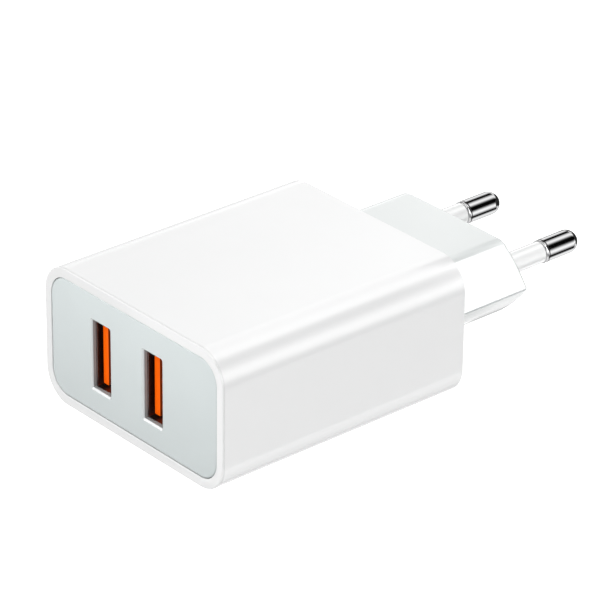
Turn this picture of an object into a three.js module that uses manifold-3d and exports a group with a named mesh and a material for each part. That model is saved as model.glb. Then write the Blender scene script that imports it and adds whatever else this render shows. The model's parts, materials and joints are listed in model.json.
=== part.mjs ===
// A two-port USB wall charger with a two-pin European plug, lying on its broad face.
// Millimetres, +Z up. +Y runs from the port end to the pins, and X runs across the ports.
// The origin is the centre of the bottom of the whole object's box.

import * as THREE from 'three';
import { mergeVertices } from 'three/addons/utils/BufferGeometryUtils.js';
import Module from 'manifold-3d';

const wasm = await Module();
wasm.setup();

// ---------------------------------------------------------------- driving dimensions

const FIT_GAP = 0.3; // clearance left between pieces that meet
const OVERCUT = 0.5; // how far a cutter runs past the face that it opens
const QUARTER_TURN = Math.PI / 2;

// Case
const BODY_WIDTH = 44.0;
const BODY_HEIGHT = 24.3;
const BODY_LENGTH = 49.8;
const BODY_EDGE_RADIUS = 5.4;
const WALL = 2.0;
const FRONT_WALL = 1.6;
const REBATE_STEP = 0.9; // how much wider than the cavity the seat of the rear cover is
const REBATE_DEPTH = 2.4;
const CORNER_STEPS = 8; // facets in each rounded long edge

// Front panel, glued and staked into the shallow recess of the front
const RIM_SIDE = 1.5;
const RIM_TOP = 1.7;
const PANEL_THICKNESS = 0.9;
const PANEL_SINK = 0.1; // how far the panel lies below the rim
const PANEL_CLEARANCE = 0.2;
const PANEL_CORNER_RADIUS = 3.9;
const PEG_RADIUS = 1.0;
const PEG_LENGTH = 2.6;
const PEG_X = 16.5;
const PEG_Z = 7.0;

// Plug
const BOSS_LENGTH = 18.1;
const BOSS_HEIGHT = 13.1;
const BOSS_FLAT_WIDTH = 23.5;
const BOSS_MAX_WIDTH = 35.6;
const BOSS_SIDE_BULGE = 0.3;
const BOSS_FILLET = 0.9;
const BOSS_WALL = 2.0;
const BOSS_END_WALL = 3.0;
const PLUG_RISE = 0.2; // the plug's centre above the middle of the body
const PIN_SPACING = 18.8;
const PIN_LENGTH = 18.6;
const PIN_RADIUS = 2.0;
const PIN_BARE_LENGTH = 8.1; // the metal head, up to the end of its dome
const PIN_CORE_RADIUS = 1.1;
const PIN_COLLAR_RADIUS = 2.7;
const PIN_COLLAR_LENGTH = 1.0;
const PIN_STUB_RADIUS = 1.5;
const PIN_STUB_LENGTH = 4.1;
const SLEEVE_RADIUS = 1.85;
const SLEEVE_BORE_RADIUS = 1.3;
const ROUND_STEPS = 24; // facets round a pin, a sleeve or a can

// Ports, on the standard sizes of a USB type A receptacle
const PORT_X = { left: -8.0, right: 4.85 };
const PORT_RISE = -0.25; // the ports' centre above the middle of the body
const APERTURE_WIDTH = 4.7;
const APERTURE_HEIGHT = 12.2;
const APERTURE_CHAMFER = 0.2;
const APERTURE_CORNER_RADIUS = 0.35;
const SHELL_WIDTH = 5.72;
const SHELL_HEIGHT = 13.14;
const SHELL_DEPTH = 14.0;
const SHEET_METAL = 0.3;
const TONGUE_THICKNESS = 1.3;
const TONGUE_HEIGHT = 11.1;
const TONGUE_BACK_GAP = 0.84; // from the shell to the back of the tongue, where the plug's shell goes
const TONGUE_SETBACK = 2.0; // from the front plane to the tip of the tongue
const INSULATOR_BLOCK_DEPTH = 3.6;
const CONTACT_OFFSETS = [-3.5, -1.0, 1.0, 3.5];
const CONTACT_WIDTH = 1.0;
const CONTACT_THICKNESS = 0.2;
const CONTACT_CREST = 0.4; // how far a spring contact stands proud of the tongue
const CONTACT_SINK = 0.1; // how far its flat part lies below the tongue's face
const GROOVE_WIDTH = 1.5;
const GROOVE_DEPTH = 0.75;
const LEG_PITCH = 1.8;
const LEG_WIDTH = 0.8;

// Circuit board and the parts on it
const BOARD_THICKNESS = 1.6;
const BOARD_WIDTH = 38.6;
const BOARD_FRONT = 3.9;
const BOARD_REAR = 43.6;
const BOARD_TOP = -7.15; // below the middle of the body
const RAIL_WIDTH = 1.3;
const SHEET_THICKNESS = 0.3;
const CORE_WIDTH = 16.0;
const CORE_HEIGHT = 5.0;
const CORE_PLATE = 2.5;
const CORE_LEG_LENGTH = 4.35;
const CORE_CENTRE_LEG = 5.0;
const CORE_SIDE_LEG = 2.5;
const BOBBIN_WALL = 0.6;
const BOBBIN_FLANGE = 0.8;
const TRANSFORMER_FRONT = 23.0;
const TRANSFORMER_RISE = 6.2; // the core's middle above the board

// Places that follow from the dimensions above, measured from the front plane
const OVERALL_LENGTH = BODY_LENGTH + BOSS_LENGTH + PIN_LENGTH;
const CAVITY_WIDTH = BODY_WIDTH - 2 * WALL;
const CAVITY_HEIGHT = BODY_HEIGHT - 2 * WALL;
const CAVITY_RADIUS = BODY_EDGE_RADIUS - WALL;
const RECESS_DEPTH = PANEL_SINK + PANEL_THICKNESS + FIT_GAP;
const CAVITY_FRONT = RECESS_DEPTH + FRONT_WALL;
const SHELL_FRONT = RECESS_DEPTH + 0.05;
const SHELL_REAR = SHELL_FRONT + SHELL_DEPTH;
const TONGUE_BACK = -SHELL_WIDTH / 2 + SHEET_METAL + TONGUE_BACK_GAP;
const TONGUE_FACE = TONGUE_BACK + TONGUE_THICKNESS;
const BLOCK_REAR = SHELL_REAR - 0.15;
const BLOCK_FRONT = BLOCK_REAR - INSULATOR_BLOCK_DEPTH;
const FIRST_LEG = SHELL_REAR + 0.85;
const BOARD_BOTTOM = BOARD_TOP - BOARD_THICKNESS;
const FLOOR = -CAVITY_HEIGHT / 2;

// ---------------------------------------------------------------- shapes

/** A rectangle with round corners, centred on (x, y). */
function roundedRectangle(width, height, radius, x = 0, y = 0) {
  const dx = width / 2 - radius;
  const dy = height / 2 - radius;
  const shape = new THREE.Shape();
  shape.absarc(x + dx, y + dy, radius, 0, QUARTER_TURN);
  shape.absarc(x - dx, y + dy, radius, QUARTER_TURN, 2 * QUARTER_TURN);
  shape.absarc(x - dx, y - dy, radius, 2 * QUARTER_TURN, 3 * QUARTER_TURN);
  shape.absarc(x + dx, y - dy, radius, 3 * QUARTER_TURN, 4 * QUARTER_TURN);
  shape.closePath();
  return shape;
}

/** A closed outline through straight-joined points. */
function polygon(points) {
  return new THREE.Shape(points.map(([x, y]) => new THREE.Vector2(x, y)));
}

/** The six-sided section of the plug, drawn in X and Z, moved in by a wall thickness. */
function plugOutline(inset) {
  const halfHeight = BOSS_HEIGHT / 2;
  const run = (BOSS_MAX_WIDTH - BOSS_FLAT_WIDTH) / 2;
  const slope = run / halfHeight;
  const sideLength = Math.hypot(run, halfHeight);
  const tipX = BOSS_MAX_WIDTH / 2 - (inset * sideLength) / halfHeight;
  const topZ = halfHeight - inset;
  const topX = tipX - topZ * slope;
  const bulgeX = (2 * BOSS_SIDE_BULGE * halfHeight) / sideLength;
  const bulgeZ = (2 * BOSS_SIDE_BULGE * run) / sideLength;
  const filletX = (BOSS_FILLET * run) / sideLength;
  const filletZ = (BOSS_FILLET * halfHeight) / sideLength;
  const corners = [
    [1, 1],
    [-1, 1],
    [-1, -1],
    [1, -1],
  ];
  const shape = new THREE.Shape();
  shape.moveTo(tipX, 0);
  corners.forEach(([sx, sz]) => {
    const side = [sx * (topX + filletX), sz * (topZ - filletZ)];
    const flat = [sx * (topX - BOSS_FILLET), sz * topZ];
    const bulge = [(sx * (tipX + topX)) / 2 + sx * bulgeX, (sz * topZ) / 2 + sz * bulgeZ];
    const corner = [sx * (topX + bulgeX / 2), sz * topZ];
    if (sx * sz > 0) {
      shape.quadraticCurveTo(...bulge, ...side);
      shape.quadraticCurveTo(...corner, ...flat);
    } else {
      shape.lineTo(...flat);
      shape.quadraticCurveTo(...corner, ...side);
      shape.quadraticCurveTo(...bulge, sx * tipX, 0);
    }
  });
  return shape;
}

/** An outline drawn in X and Z, extruded along +Y. */
function extrudeAlongY(outline, start, end, steps = CORNER_STEPS) {
  const options = { depth: end - start, bevelEnabled: false, curveSegments: steps };
  const geometry = new THREE.ExtrudeGeometry(outline, options);
  geometry.rotateX(QUARTER_TURN);
  geometry.translate(0, end, 0);
  return geometry;
}

/** An outline drawn in X and Y, extruded along +Z. */
function extrudeAlongZ(outline, start, end, steps = CORNER_STEPS) {
  const options = { depth: end - start, bevelEnabled: false, curveSegments: steps };
  const geometry = new THREE.ExtrudeGeometry(outline, options);
  geometry.translate(0, 0, start);
  return geometry;
}

/** An outline drawn in Y and Z, extruded along +X. */
function extrudeAlongX(outline, start, end, steps = CORNER_STEPS) {
  const options = { depth: end - start, bevelEnabled: false, curveSegments: steps };
  const geometry = new THREE.ExtrudeGeometry(outline, options);
  geometry.rotateX(QUARTER_TURN);
  geometry.rotateZ(QUARTER_TURN);
  geometry.translate(start, 0, 0);
  return geometry;
}

/** A box from its lowest to its highest value along each axis. */
function boxBetween([x0, x1], [y0, y1], [z0, z1]) {
  const geometry = new THREE.BoxGeometry(x1 - x0, y1 - y0, z1 - z0);
  geometry.translate((x0 + x1) / 2, (y0 + y1) / 2, (z0 + z1) / 2);
  return geometry;
}

/** A solid of revolution round the Y axis, from [radius, y] points that start and end on the axis. */
function turned(points, steps = ROUND_STEPS) {
  const profile = points.map(([radius, y]) => new THREE.Vector2(radius, y));
  return new THREE.LatheGeometry(profile, steps);
}

/** A round bar along +Y. */
function roundBar(radius, start, end, x = 0, z = 0, steps = ROUND_STEPS) {
  const geometry = new THREE.CylinderGeometry(radius, radius, end - start, steps);
  geometry.translate(x, (start + end) / 2, z);
  return geometry;
}

/** A round wire through points, each [x, y, z]. */
function wire(points, radius) {
  const path = new THREE.CatmullRomCurve3(
    points.map((point) => new THREE.Vector3(...point)),
    false,
    'catmullrom',
    0.1,
  );
  const section = new THREE.Shape();
  section.absarc(0, 0, radius, 0, 4 * QUARTER_TURN);
  const options = { extrudePath: path, steps: 2 * points.length, bevelEnabled: false, curveSegments: 6 };
  return new THREE.ExtrudeGeometry(section, options);
}

// ---------------------------------------------------------------- joining and cutting

/** A closed geometry as a solid that can be joined and cut. */
function toSolid(geometry) {
  const bare = geometry.clone();
  bare.deleteAttribute('normal');
  bare.deleteAttribute('uv');
  const merged = mergeVertices(bare, 1e-4);
  const corners = merged.index.array;
  const kept = [];
  for (let i = 0; i < corners.length; i += 3) {
    const [a, b, c] = [corners[i], corners[i + 1], corners[i + 2]];
    if (a !== b && b !== c && a !== c) {
      kept.push(a, b, c);
    }
  }
  const mesh = new wasm.Mesh({
    numProp: 3,
    vertProperties: new Float32Array(merged.attributes.position.array),
    triVerts: new Uint32Array(kept),
  });
  return new wasm.Manifold(mesh);
}

/** A solid as a geometry that a mesh can hold. */
function toGeometry(solid) {
  const mesh = solid.getMesh();
  const geometry = new THREE.BufferGeometry();
  const positions = new Float32Array(mesh.vertProperties);
  geometry.setAttribute('position', new THREE.BufferAttribute(positions, 3));
  geometry.setIndex(new THREE.BufferAttribute(new Uint32Array(mesh.triVerts), 1));
  geometry.computeVertexNormals();
  return geometry;
}

function join(geometries) {
  return toGeometry(geometries.map(toSolid).reduce((whole, piece) => whole.add(piece)));
}

function cut(geometry, tools) {
  return toGeometry(tools.map(toSolid).reduce((rest, tool) => rest.subtract(tool), toSolid(geometry)));
}

// ---------------------------------------------------------------- finishes

const finish = (color, roughness, metalness) => () =>
  new THREE.MeshStandardMaterial({ color, roughness, metalness });

const whitePlastic = finish(0xf4f5f5, 0.28, 0.0);
const panelPlastic = finish(0xd3dcdb, 0.42, 0.0);
const chrome = finish(0xd9d9d9, 0.08, 1.0);
const steel = finish(0xa9adb0, 0.3, 1.0);
const orangePlastic = finish(0xff6a00, 0.4, 0.0);
const goldPlate = finish(0xd8ab55, 0.25, 1.0);
const brassStrip = finish(0xc9a84f, 0.35, 1.0);
const boardGreen = finish(0x2f6b3c, 0.5, 0.0);
const polyesterFilm = finish(0xe9e4cf, 0.3, 0.0);
const ferrite = finish(0x35373a, 0.6, 0.1);
const bobbinBlack = finish(0x1c1c1e, 0.5, 0.0);
const windingTape = finish(0xe8b62f, 0.35, 0.0);
const canBlack = finish(0x23262c, 0.35, 0.2);
const canGreen = finish(0x1f5a49, 0.35, 0.2);
const copperWire = finish(0xb4653a, 0.35, 0.9);
const packageBlack = finish(0x18191b, 0.6, 0.0);
const ceramicBlue = finish(0x2f6fb5, 0.4, 0.0);
const fuseBeige = finish(0xcdb894, 0.5, 0.0);
const opticalWhite = finish(0xe6e4dc, 0.5, 0.0);

/** A named mesh with a material of its own, at a place in its group. */
function piece(name, geometry, makeMaterial, place = [0, 0, 0]) {
  const mesh = new THREE.Mesh(geometry, makeMaterial());
  mesh.name = name;
  mesh.position.set(...place);
  return mesh;
}

// ---------------------------------------------------------------- case

/** The sleeve-like body: open at the rear, with a recessed front wall and card guides. */
function makeMainHousing() {
  const outer = roundedRectangle(BODY_WIDTH, BODY_HEIGHT, BODY_EDGE_RADIUS);
  const cavity = roundedRectangle(CAVITY_WIDTH, CAVITY_HEIGHT, CAVITY_RADIUS);
  const rebate = roundedRectangle(
    CAVITY_WIDTH + 2 * REBATE_STEP,
    CAVITY_HEIGHT + 2 * REBATE_STEP,
    CAVITY_RADIUS + REBATE_STEP,
  );
  const recess = roundedRectangle(
    BODY_WIDTH - 2 * RIM_SIDE,
    BODY_HEIGHT - 2 * RIM_TOP,
    PANEL_CORNER_RADIUS,
  );
  const portHoles = Object.values(PORT_X).map((x) => {
    const hole = roundedRectangle(
      SHELL_WIDTH + 2 * FIT_GAP,
      SHELL_HEIGHT + 2 * FIT_GAP,
      2 * FIT_GAP,
      x,
      PORT_RISE,
    );
    return extrudeAlongY(hole, 0, CAVITY_FRONT + OVERCUT, 3);
  });
  const pegHoles = pegPlaces().map(([x, z]) =>
    roundBar(PEG_RADIUS + FIT_GAP, 0, CAVITY_FRONT + OVERCUT, x, z, 12),
  );
  const shell = cut(extrudeAlongY(outer, 0, BODY_LENGTH), [
    extrudeAlongY(cavity, CAVITY_FRONT, BODY_LENGTH + OVERCUT),
    extrudeAlongY(rebate, BODY_LENGTH - REBATE_DEPTH, BODY_LENGTH + OVERCUT),
    extrudeAlongY(recess, -OVERCUT, RECESS_DEPTH),
    ...portHoles,
    ...pegHoles,
  ]);
  return join([shell, ...makeCardGuides()]);
}

/** Two ribs on each side wall, with the edge of the circuit board between them. */
function makeCardGuides() {
  const alongY = [CAVITY_FRONT - OVERCUT, BOARD_REAR];
  const wallX = CAVITY_WIDTH / 2 + OVERCUT;
  const guides = [];
  for (const side of [-1, 1]) {
    const lowerX = [side * (BOARD_WIDTH / 2 - RAIL_WIDTH), side * wallX].sort((a, b) => a - b);
    const upperX = [side * (BOARD_WIDTH / 2 - RAIL_WIDTH / 2), side * wallX].sort((a, b) => a - b);
    guides.push(boxBetween(lowerX, alongY, [FLOOR - OVERCUT, BOARD_BOTTOM - FIT_GAP]));
    guides.push(boxBetween(upperX, alongY, [BOARD_TOP + FIT_GAP, BOARD_TOP + FIT_GAP + RAIL_WIDTH]));
  }
  return guides;
}

function pegPlaces() {
  return [-PEG_X, PEG_X].flatMap((x) => [-PEG_Z, PEG_Z].map((z) => [x, z]));
}

/** The inset face plate: two chamfered apertures, and four stakes on its back. */
function makeFrontPanel() {
  const outline = roundedRectangle(
    BODY_WIDTH - 2 * (RIM_SIDE + PANEL_CLEARANCE),
    BODY_HEIGHT - 2 * (RIM_TOP + PANEL_CLEARANCE),
    PANEL_CORNER_RADIUS - PANEL_CLEARANCE,
  );
  const back = PANEL_SINK + PANEL_THICKNESS;
  const pegs = pegPlaces().map(([x, z]) => roundBar(PEG_RADIUS, back - 0.4, back + PEG_LENGTH, x, z, 12));
  const plate = join([extrudeAlongY(outline, PANEL_SINK, back), ...pegs]);
  const apertures = Object.values(PORT_X).flatMap((x) => {
    const hole = roundedRectangle(APERTURE_WIDTH, APERTURE_HEIGHT, APERTURE_CORNER_RADIUS, x, PORT_RISE);
    const chamfer = new THREE.ExtrudeGeometry(hole, {
      depth: OVERCUT,
      bevelThickness: APERTURE_CHAMFER,
      bevelSize: APERTURE_CHAMFER,
      bevelSegments: 1,
      curveSegments: 3,
    });
    chamfer.rotateX(QUARTER_TURN);
    chamfer.translate(0, PANEL_SINK, 0);
    return [extrudeAlongY(hole, -OVERCUT, back + OVERCUT, 3), chamfer];
  });
  return cut(plate, apertures);
}

/** The end cap: a plate seated in the rear of the body, a skirt inside it, and the hollow plug. */
function makeRearCover() {
  const plateRise = FIT_GAP - 0.1; // clearance round the plate in its seat
  const plate = roundedRectangle(
    CAVITY_WIDTH + 2 * (REBATE_STEP - plateRise),
    CAVITY_HEIGHT + 2 * (REBATE_STEP - plateRise),
    CAVITY_RADIUS + REBATE_STEP - plateRise,
  );
  const skirtWall = 1.5;
  const skirt = roundedRectangle(
    CAVITY_WIDTH - 2 * FIT_GAP,
    CAVITY_HEIGHT - 2 * FIT_GAP,
    CAVITY_RADIUS - FIT_GAP,
  );
  const skirtHole = roundedRectangle(
    CAVITY_WIDTH - 2 * (FIT_GAP + skirtWall),
    CAVITY_HEIGHT - 2 * (FIT_GAP + skirtWall),
    CAVITY_RADIUS - FIT_GAP - skirtWall,
  );
  const plateFront = BODY_LENGTH - REBATE_DEPTH + FIT_GAP;
  const skirtFront = BOARD_REAR + 0.8;
  const bossEnd = BODY_LENGTH + BOSS_LENGTH;
  const boss = extrudeAlongY(plugOutline(0), BODY_LENGTH - OVERCUT, bossEnd, 6);
  const bossCavity = extrudeAlongY(plugOutline(BOSS_WALL), skirtFront, bossEnd - BOSS_END_WALL, 6);
  boss.translate(0, 0, PLUG_RISE);
  bossCavity.translate(0, 0, PLUG_RISE);
  const pinHoles = [-1, 1].map((side) =>
    roundBar(
      SLEEVE_RADIUS + FIT_GAP,
      bossEnd - BOSS_END_WALL - OVERCUT,
      bossEnd + OVERCUT,
      (side * PIN_SPACING) / 2,
      PLUG_RISE,
    ),
  );
  const skirtRing = cut(extrudeAlongY(skirt, skirtFront, plateFront + OVERCUT), [
    extrudeAlongY(skirtHole, skirtFront - OVERCUT, plateFront),
  ]);
  const solid = join([extrudeAlongY(plate, plateFront, BODY_LENGTH), skirtRing, boss]);
  return cut(solid, [bossCavity, ...pinHoles]);
}

// ---------------------------------------------------------------- plug pins

/** One pin in a frame whose origin is the plug's end face, +Y outwards. */
function makePin() {
  const collarEnd = -BOSS_END_WALL - FIT_GAP;
  const collarStart = collarEnd - PIN_COLLAR_LENGTH;
  const stubStart = collarStart - PIN_STUB_LENGTH;
  const headStart = PIN_LENGTH - PIN_BARE_LENGTH;
  const domeCentre = PIN_LENGTH - PIN_RADIUS;
  const bevel = 0.15;
  const domeSteps = 7;
  const dome = [];
  for (let i = 0; i <= domeSteps; i += 1) {
    const angle = (i / domeSteps) * QUARTER_TURN;
    const radius = i === domeSteps ? 0 : PIN_RADIUS * Math.cos(angle);
    dome.push([radius, domeCentre + PIN_RADIUS * Math.sin(angle)]);
  }
  return turned([
    [0, stubStart],
    [PIN_STUB_RADIUS - 2 * bevel, stubStart],
    [PIN_STUB_RADIUS, stubStart + 2 * bevel],
    [PIN_STUB_RADIUS, collarStart],
    [PIN_COLLAR_RADIUS, collarStart],
    [PIN_COLLAR_RADIUS, collarEnd],
    [PIN_CORE_RADIUS, collarEnd],
    [PIN_CORE_RADIUS, headStart],
    [PIN_RADIUS - bevel, headStart],
    [PIN_RADIUS, headStart + bevel],
    ...dome,
  ]);
}

/** The insulating sleeve on the pin's thin part, in the pin's own frame. */
function makePinSleeve() {
  const start = FIT_GAP - BOSS_END_WALL;
  const end = PIN_LENGTH - PIN_BARE_LENGTH - FIT_GAP;
  const bevel = 0.15;
  return turned([
    [SLEEVE_BORE_RADIUS, start],
    [SLEEVE_RADIUS, start],
    [SLEEVE_RADIUS, end - bevel],
    [SLEEVE_RADIUS - bevel, end],
    [SLEEVE_BORE_RADIUS, end],
    [SLEEVE_BORE_RADIUS, start],
  ]);
}

/** The spring strip from the board to the underside of a pin, in the body's frame at x = 0. */
function makePinContact() {
  const strip = 0.4;
  const halfWidth = 1.5;
  const foot = BOARD_TOP + FIT_GAP;
  const footFront = BOARD_REAR - 3.2;
  const riser = BOARD_REAR - 0.5;
  const shelf = BOARD_TOP + 4.3;
  const pinUnderside = PLUG_RISE - PIN_STUB_RADIUS - FIT_GAP;
  const bossInnerEnd = BODY_LENGTH + BOSS_LENGTH - BOSS_END_WALL;
  const touch = bossInnerEnd - FIT_GAP - PIN_COLLAR_LENGTH - PIN_STUB_LENGTH;
  return extrudeAlongX(
    polygon([
      [footFront, foot],
      [riser + strip, foot],
      [riser + strip, shelf - strip],
      [touch - 2.5, shelf - strip],
      [touch + 0.5, pinUnderside - strip],
      [touch + 3.0, pinUnderside - strip],
      [touch + 3.0, pinUnderside],
      [touch + 0.5, pinUnderside],
      [touch - 2.5, shelf],
      [riser, shelf],
      [riser, foot + strip],
      [footFront, foot + strip],
    ]),
    -halfWidth,
    halfWidth,
  );
}

function makePlugPins() {
  const group = new THREE.Group();
  for (const [side, sign] of [['left', -1], ['right', 1]]) {
    const x = (sign * PIN_SPACING) / 2;
    const place = [x, BODY_LENGTH + BOSS_LENGTH, PLUG_RISE];
    group.add(piece(`pin_${side}`, makePin(), chrome, place));
    group.add(piece(`pin_sleeve_${side}`, makePinSleeve(), whitePlastic, place));
    group.add(piece(`pin_contact_${side}`, makePinContact(), brassStrip, [x, 0, 0]));
  }
  return group;
}

// ---------------------------------------------------------------- USB ports

/** The receptacle's folded steel shell, with four legs through the board. */
function makeUsbShell() {
  const outer = roundedRectangle(SHELL_WIDTH, SHELL_HEIGHT, 0.6);
  const inner = roundedRectangle(SHELL_WIDTH - 2 * SHEET_METAL, SHELL_HEIGHT - 2 * SHEET_METAL, 0.35);
  const tube = cut(extrudeAlongY(outer, SHELL_FRONT, SHELL_REAR, 3), [
    extrudeAlongY(inner, SHELL_FRONT - OVERCUT, SHELL_REAR + OVERCUT, 3),
  ]);
  const legs = shellLegPlaces().map(([x, y]) =>
    boxBetween(
      [x - SHEET_METAL / 2, x + SHEET_METAL / 2],
      [y - LEG_WIDTH, y + LEG_WIDTH],
      [BOARD_BOTTOM - PORT_RISE - 0.4, -SHELL_HEIGHT / 2 + 1.2],
    ),
  );
  return join([tube, ...legs]);
}

/** Where the shell's legs stand, in the port's frame. */
function shellLegPlaces() {
  const x = SHELL_WIDTH / 2 - SHEET_METAL / 2;
  return [-x, x].flatMap((legX) => [5.0, 12.0].map((y) => [legX, y]));
}

/** The coloured insulator: a block that fills the shell's rear, and the grooved tongue. */
function makeUsbInsulator() {
  const blockX = SHELL_WIDTH / 2 - SHEET_METAL - FIT_GAP;
  const blockZ = SHELL_HEIGHT / 2 - SHEET_METAL - FIT_GAP;
  const tongueTip = boxBetween(
    [TONGUE_BACK, TONGUE_FACE],
    [TONGUE_SETBACK, BLOCK_FRONT + OVERCUT],
    [-TONGUE_HEIGHT / 2, TONGUE_HEIGHT / 2],
  );
  const block = boxBetween([-blockX, blockX], [BLOCK_FRONT, BLOCK_REAR], [-blockZ, blockZ]);
  const grooves = CONTACT_OFFSETS.map((z) =>
    boxBetween(
      [TONGUE_FACE - GROOVE_DEPTH, TONGUE_FACE + OVERCUT],
      [TONGUE_SETBACK + 0.5, BLOCK_REAR + OVERCUT],
      [z - GROOVE_WIDTH / 2, z + GROOVE_WIDTH / 2],
    ),
  );
  return cut(join([block, tongueTip]), grooves);
}

/** One spring contact lying in its groove, in the port's frame at z = 0. */
function makeUsbContact() {
  const flat = TONGUE_FACE - CONTACT_SINK;
  const crest = TONGUE_FACE + CONTACT_CREST;
  const tip = TONGUE_SETBACK + 0.9;
  const crestY = TONGUE_SETBACK + 3.2;
  const bend = BLOCK_FRONT - 0.6;
  const root = BLOCK_FRONT + 1.6;
  const under = CONTACT_THICKNESS;
  const outline = new THREE.Shape();
  outline.moveTo(flat, root);
  outline.lineTo(flat - under, root);
  outline.lineTo(flat - under, bend);
  outline.bezierCurveTo(flat - under, bend - 2.5, crest - under, crestY + 1.6, crest - under, crestY);
  outline.bezierCurveTo(crest - under, crestY - 1.0, flat - under, tip + 0.7, flat - under, tip);
  outline.lineTo(flat, tip);
  outline.bezierCurveTo(flat, tip + 0.7, crest, crestY - 1.0, crest, crestY);
  outline.bezierCurveTo(crest, crestY + 1.6, flat, bend - 2.5, flat, bend);
  outline.closePath();
  return extrudeAlongZ(outline, -CONTACT_WIDTH / 2, CONTACT_WIDTH / 2, 6);
}

/** The soldered leg of a contact: back out of the block at its height, then down through the board. */
function makeUsbContactLeg(index) {
  const z = CONTACT_OFFSETS[index];
  const legY = FIRST_LEG + index * LEG_PITCH;
  const top = z + CONTACT_WIDTH / 2;
  const below = z - CONTACT_WIDTH / 2;
  const end = BOARD_BOTTOM - PORT_RISE - 0.4;
  const start = BLOCK_FRONT + 1.9;
  const x = TONGUE_FACE - CONTACT_SINK;
  return extrudeAlongX(
    polygon([
      [start, below],
      [legY - LEG_WIDTH / 2, below],
      [legY - LEG_WIDTH / 2, end],
      [legY + LEG_WIDTH / 2, end],
      [legY + LEG_WIDTH / 2, top],
      [start, top],
    ]),
    x - CONTACT_THICKNESS,
    x,
  );
}

/** One whole receptacle in a frame centred on its port, with y = 0 on the front plane. */
function makeUsbPort(side) {
  const port = new THREE.Group();
  port.add(piece(`usb_shell_${side}`, makeUsbShell(), steel));
  port.add(piece(`usb_insulator_${side}`, makeUsbInsulator(), orangePlastic));
  CONTACT_OFFSETS.forEach((z, index) => {
    const number = index + 1;
    port.add(piece(`usb_contact_${side}_${number}`, makeUsbContact(), goldPlate, [0, 0, z]));
    port.add(piece(`usb_contact_leg_${side}_${number}`, makeUsbContactLeg(index), goldPlate));
  });
  port.position.set(PORT_X[side], 0, PORT_RISE);
  return port;
}

// ---------------------------------------------------------------- circuit board

/** The board, slotted for the receptacles' legs. */
function makeMainBoard() {
  const blank = boxBetween(
    [-BOARD_WIDTH / 2, BOARD_WIDTH / 2],
    [BOARD_FRONT, BOARD_REAR],
    [BOARD_BOTTOM, BOARD_TOP],
  );
  const through = [BOARD_BOTTOM - OVERCUT, BOARD_TOP + OVERCUT];
  const slots = Object.values(PORT_X).flatMap((portX) => {
    const shellSlots = shellLegPlaces().map(([x, y]) => {
      const half = SHEET_METAL / 2 + FIT_GAP;
      return boxBetween(
        [portX + x - half, portX + x + half],
        [y - LEG_WIDTH - FIT_GAP, y + LEG_WIDTH + FIT_GAP],
        through,
      );
    });
    const legX = portX + TONGUE_FACE - CONTACT_SINK - CONTACT_THICKNESS / 2;
    const legSlots = CONTACT_OFFSETS.map((z, index) => {
      const half = CONTACT_THICKNESS / 2 + FIT_GAP;
      const legY = FIRST_LEG + index * LEG_PITCH;
      return boxBetween(
        [legX - half, legX + half],
        [legY - LEG_WIDTH / 2 - FIT_GAP, legY + LEG_WIDTH / 2 + FIT_GAP],
        through,
      );
    });
    return [...shellSlots, ...legSlots];
  });
  return cut(blank, slots);
}

/** The insulating film between the board's solder side and the case. */
function makeInsulationSheet() {
  const halfWidth = BOARD_WIDTH / 2 - RAIL_WIDTH - FIT_GAP;
  const low = FLOOR + FIT_GAP;
  return boxBetween([-halfWidth, halfWidth], [BOARD_FRONT, BOARD_REAR], [low, low + SHEET_THICKNESS]);
}

/** Half of the transformer's core: a plate with three legs towards +Y, in its own frame. */
function makeCoreHalf() {
  const halfWidth = CORE_WIDTH / 2;
  const tip = CORE_PLATE + CORE_LEG_LENGTH;
  const centre = CORE_CENTRE_LEG / 2;
  const side = halfWidth - CORE_SIDE_LEG;
  return extrudeAlongZ(
    polygon([
      [-halfWidth, 0],
      [halfWidth, 0],
      [halfWidth, tip],
      [side, tip],
      [side, CORE_PLATE],
      [centre, CORE_PLATE],
      [centre, tip],
      [-centre, tip],
      [-centre, CORE_PLATE],
      [-side, CORE_PLATE],
      [-side, tip],
      [-halfWidth, tip],
    ]),
    -CORE_HEIGHT / 2,
    CORE_HEIGHT / 2,
  );
}

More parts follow.
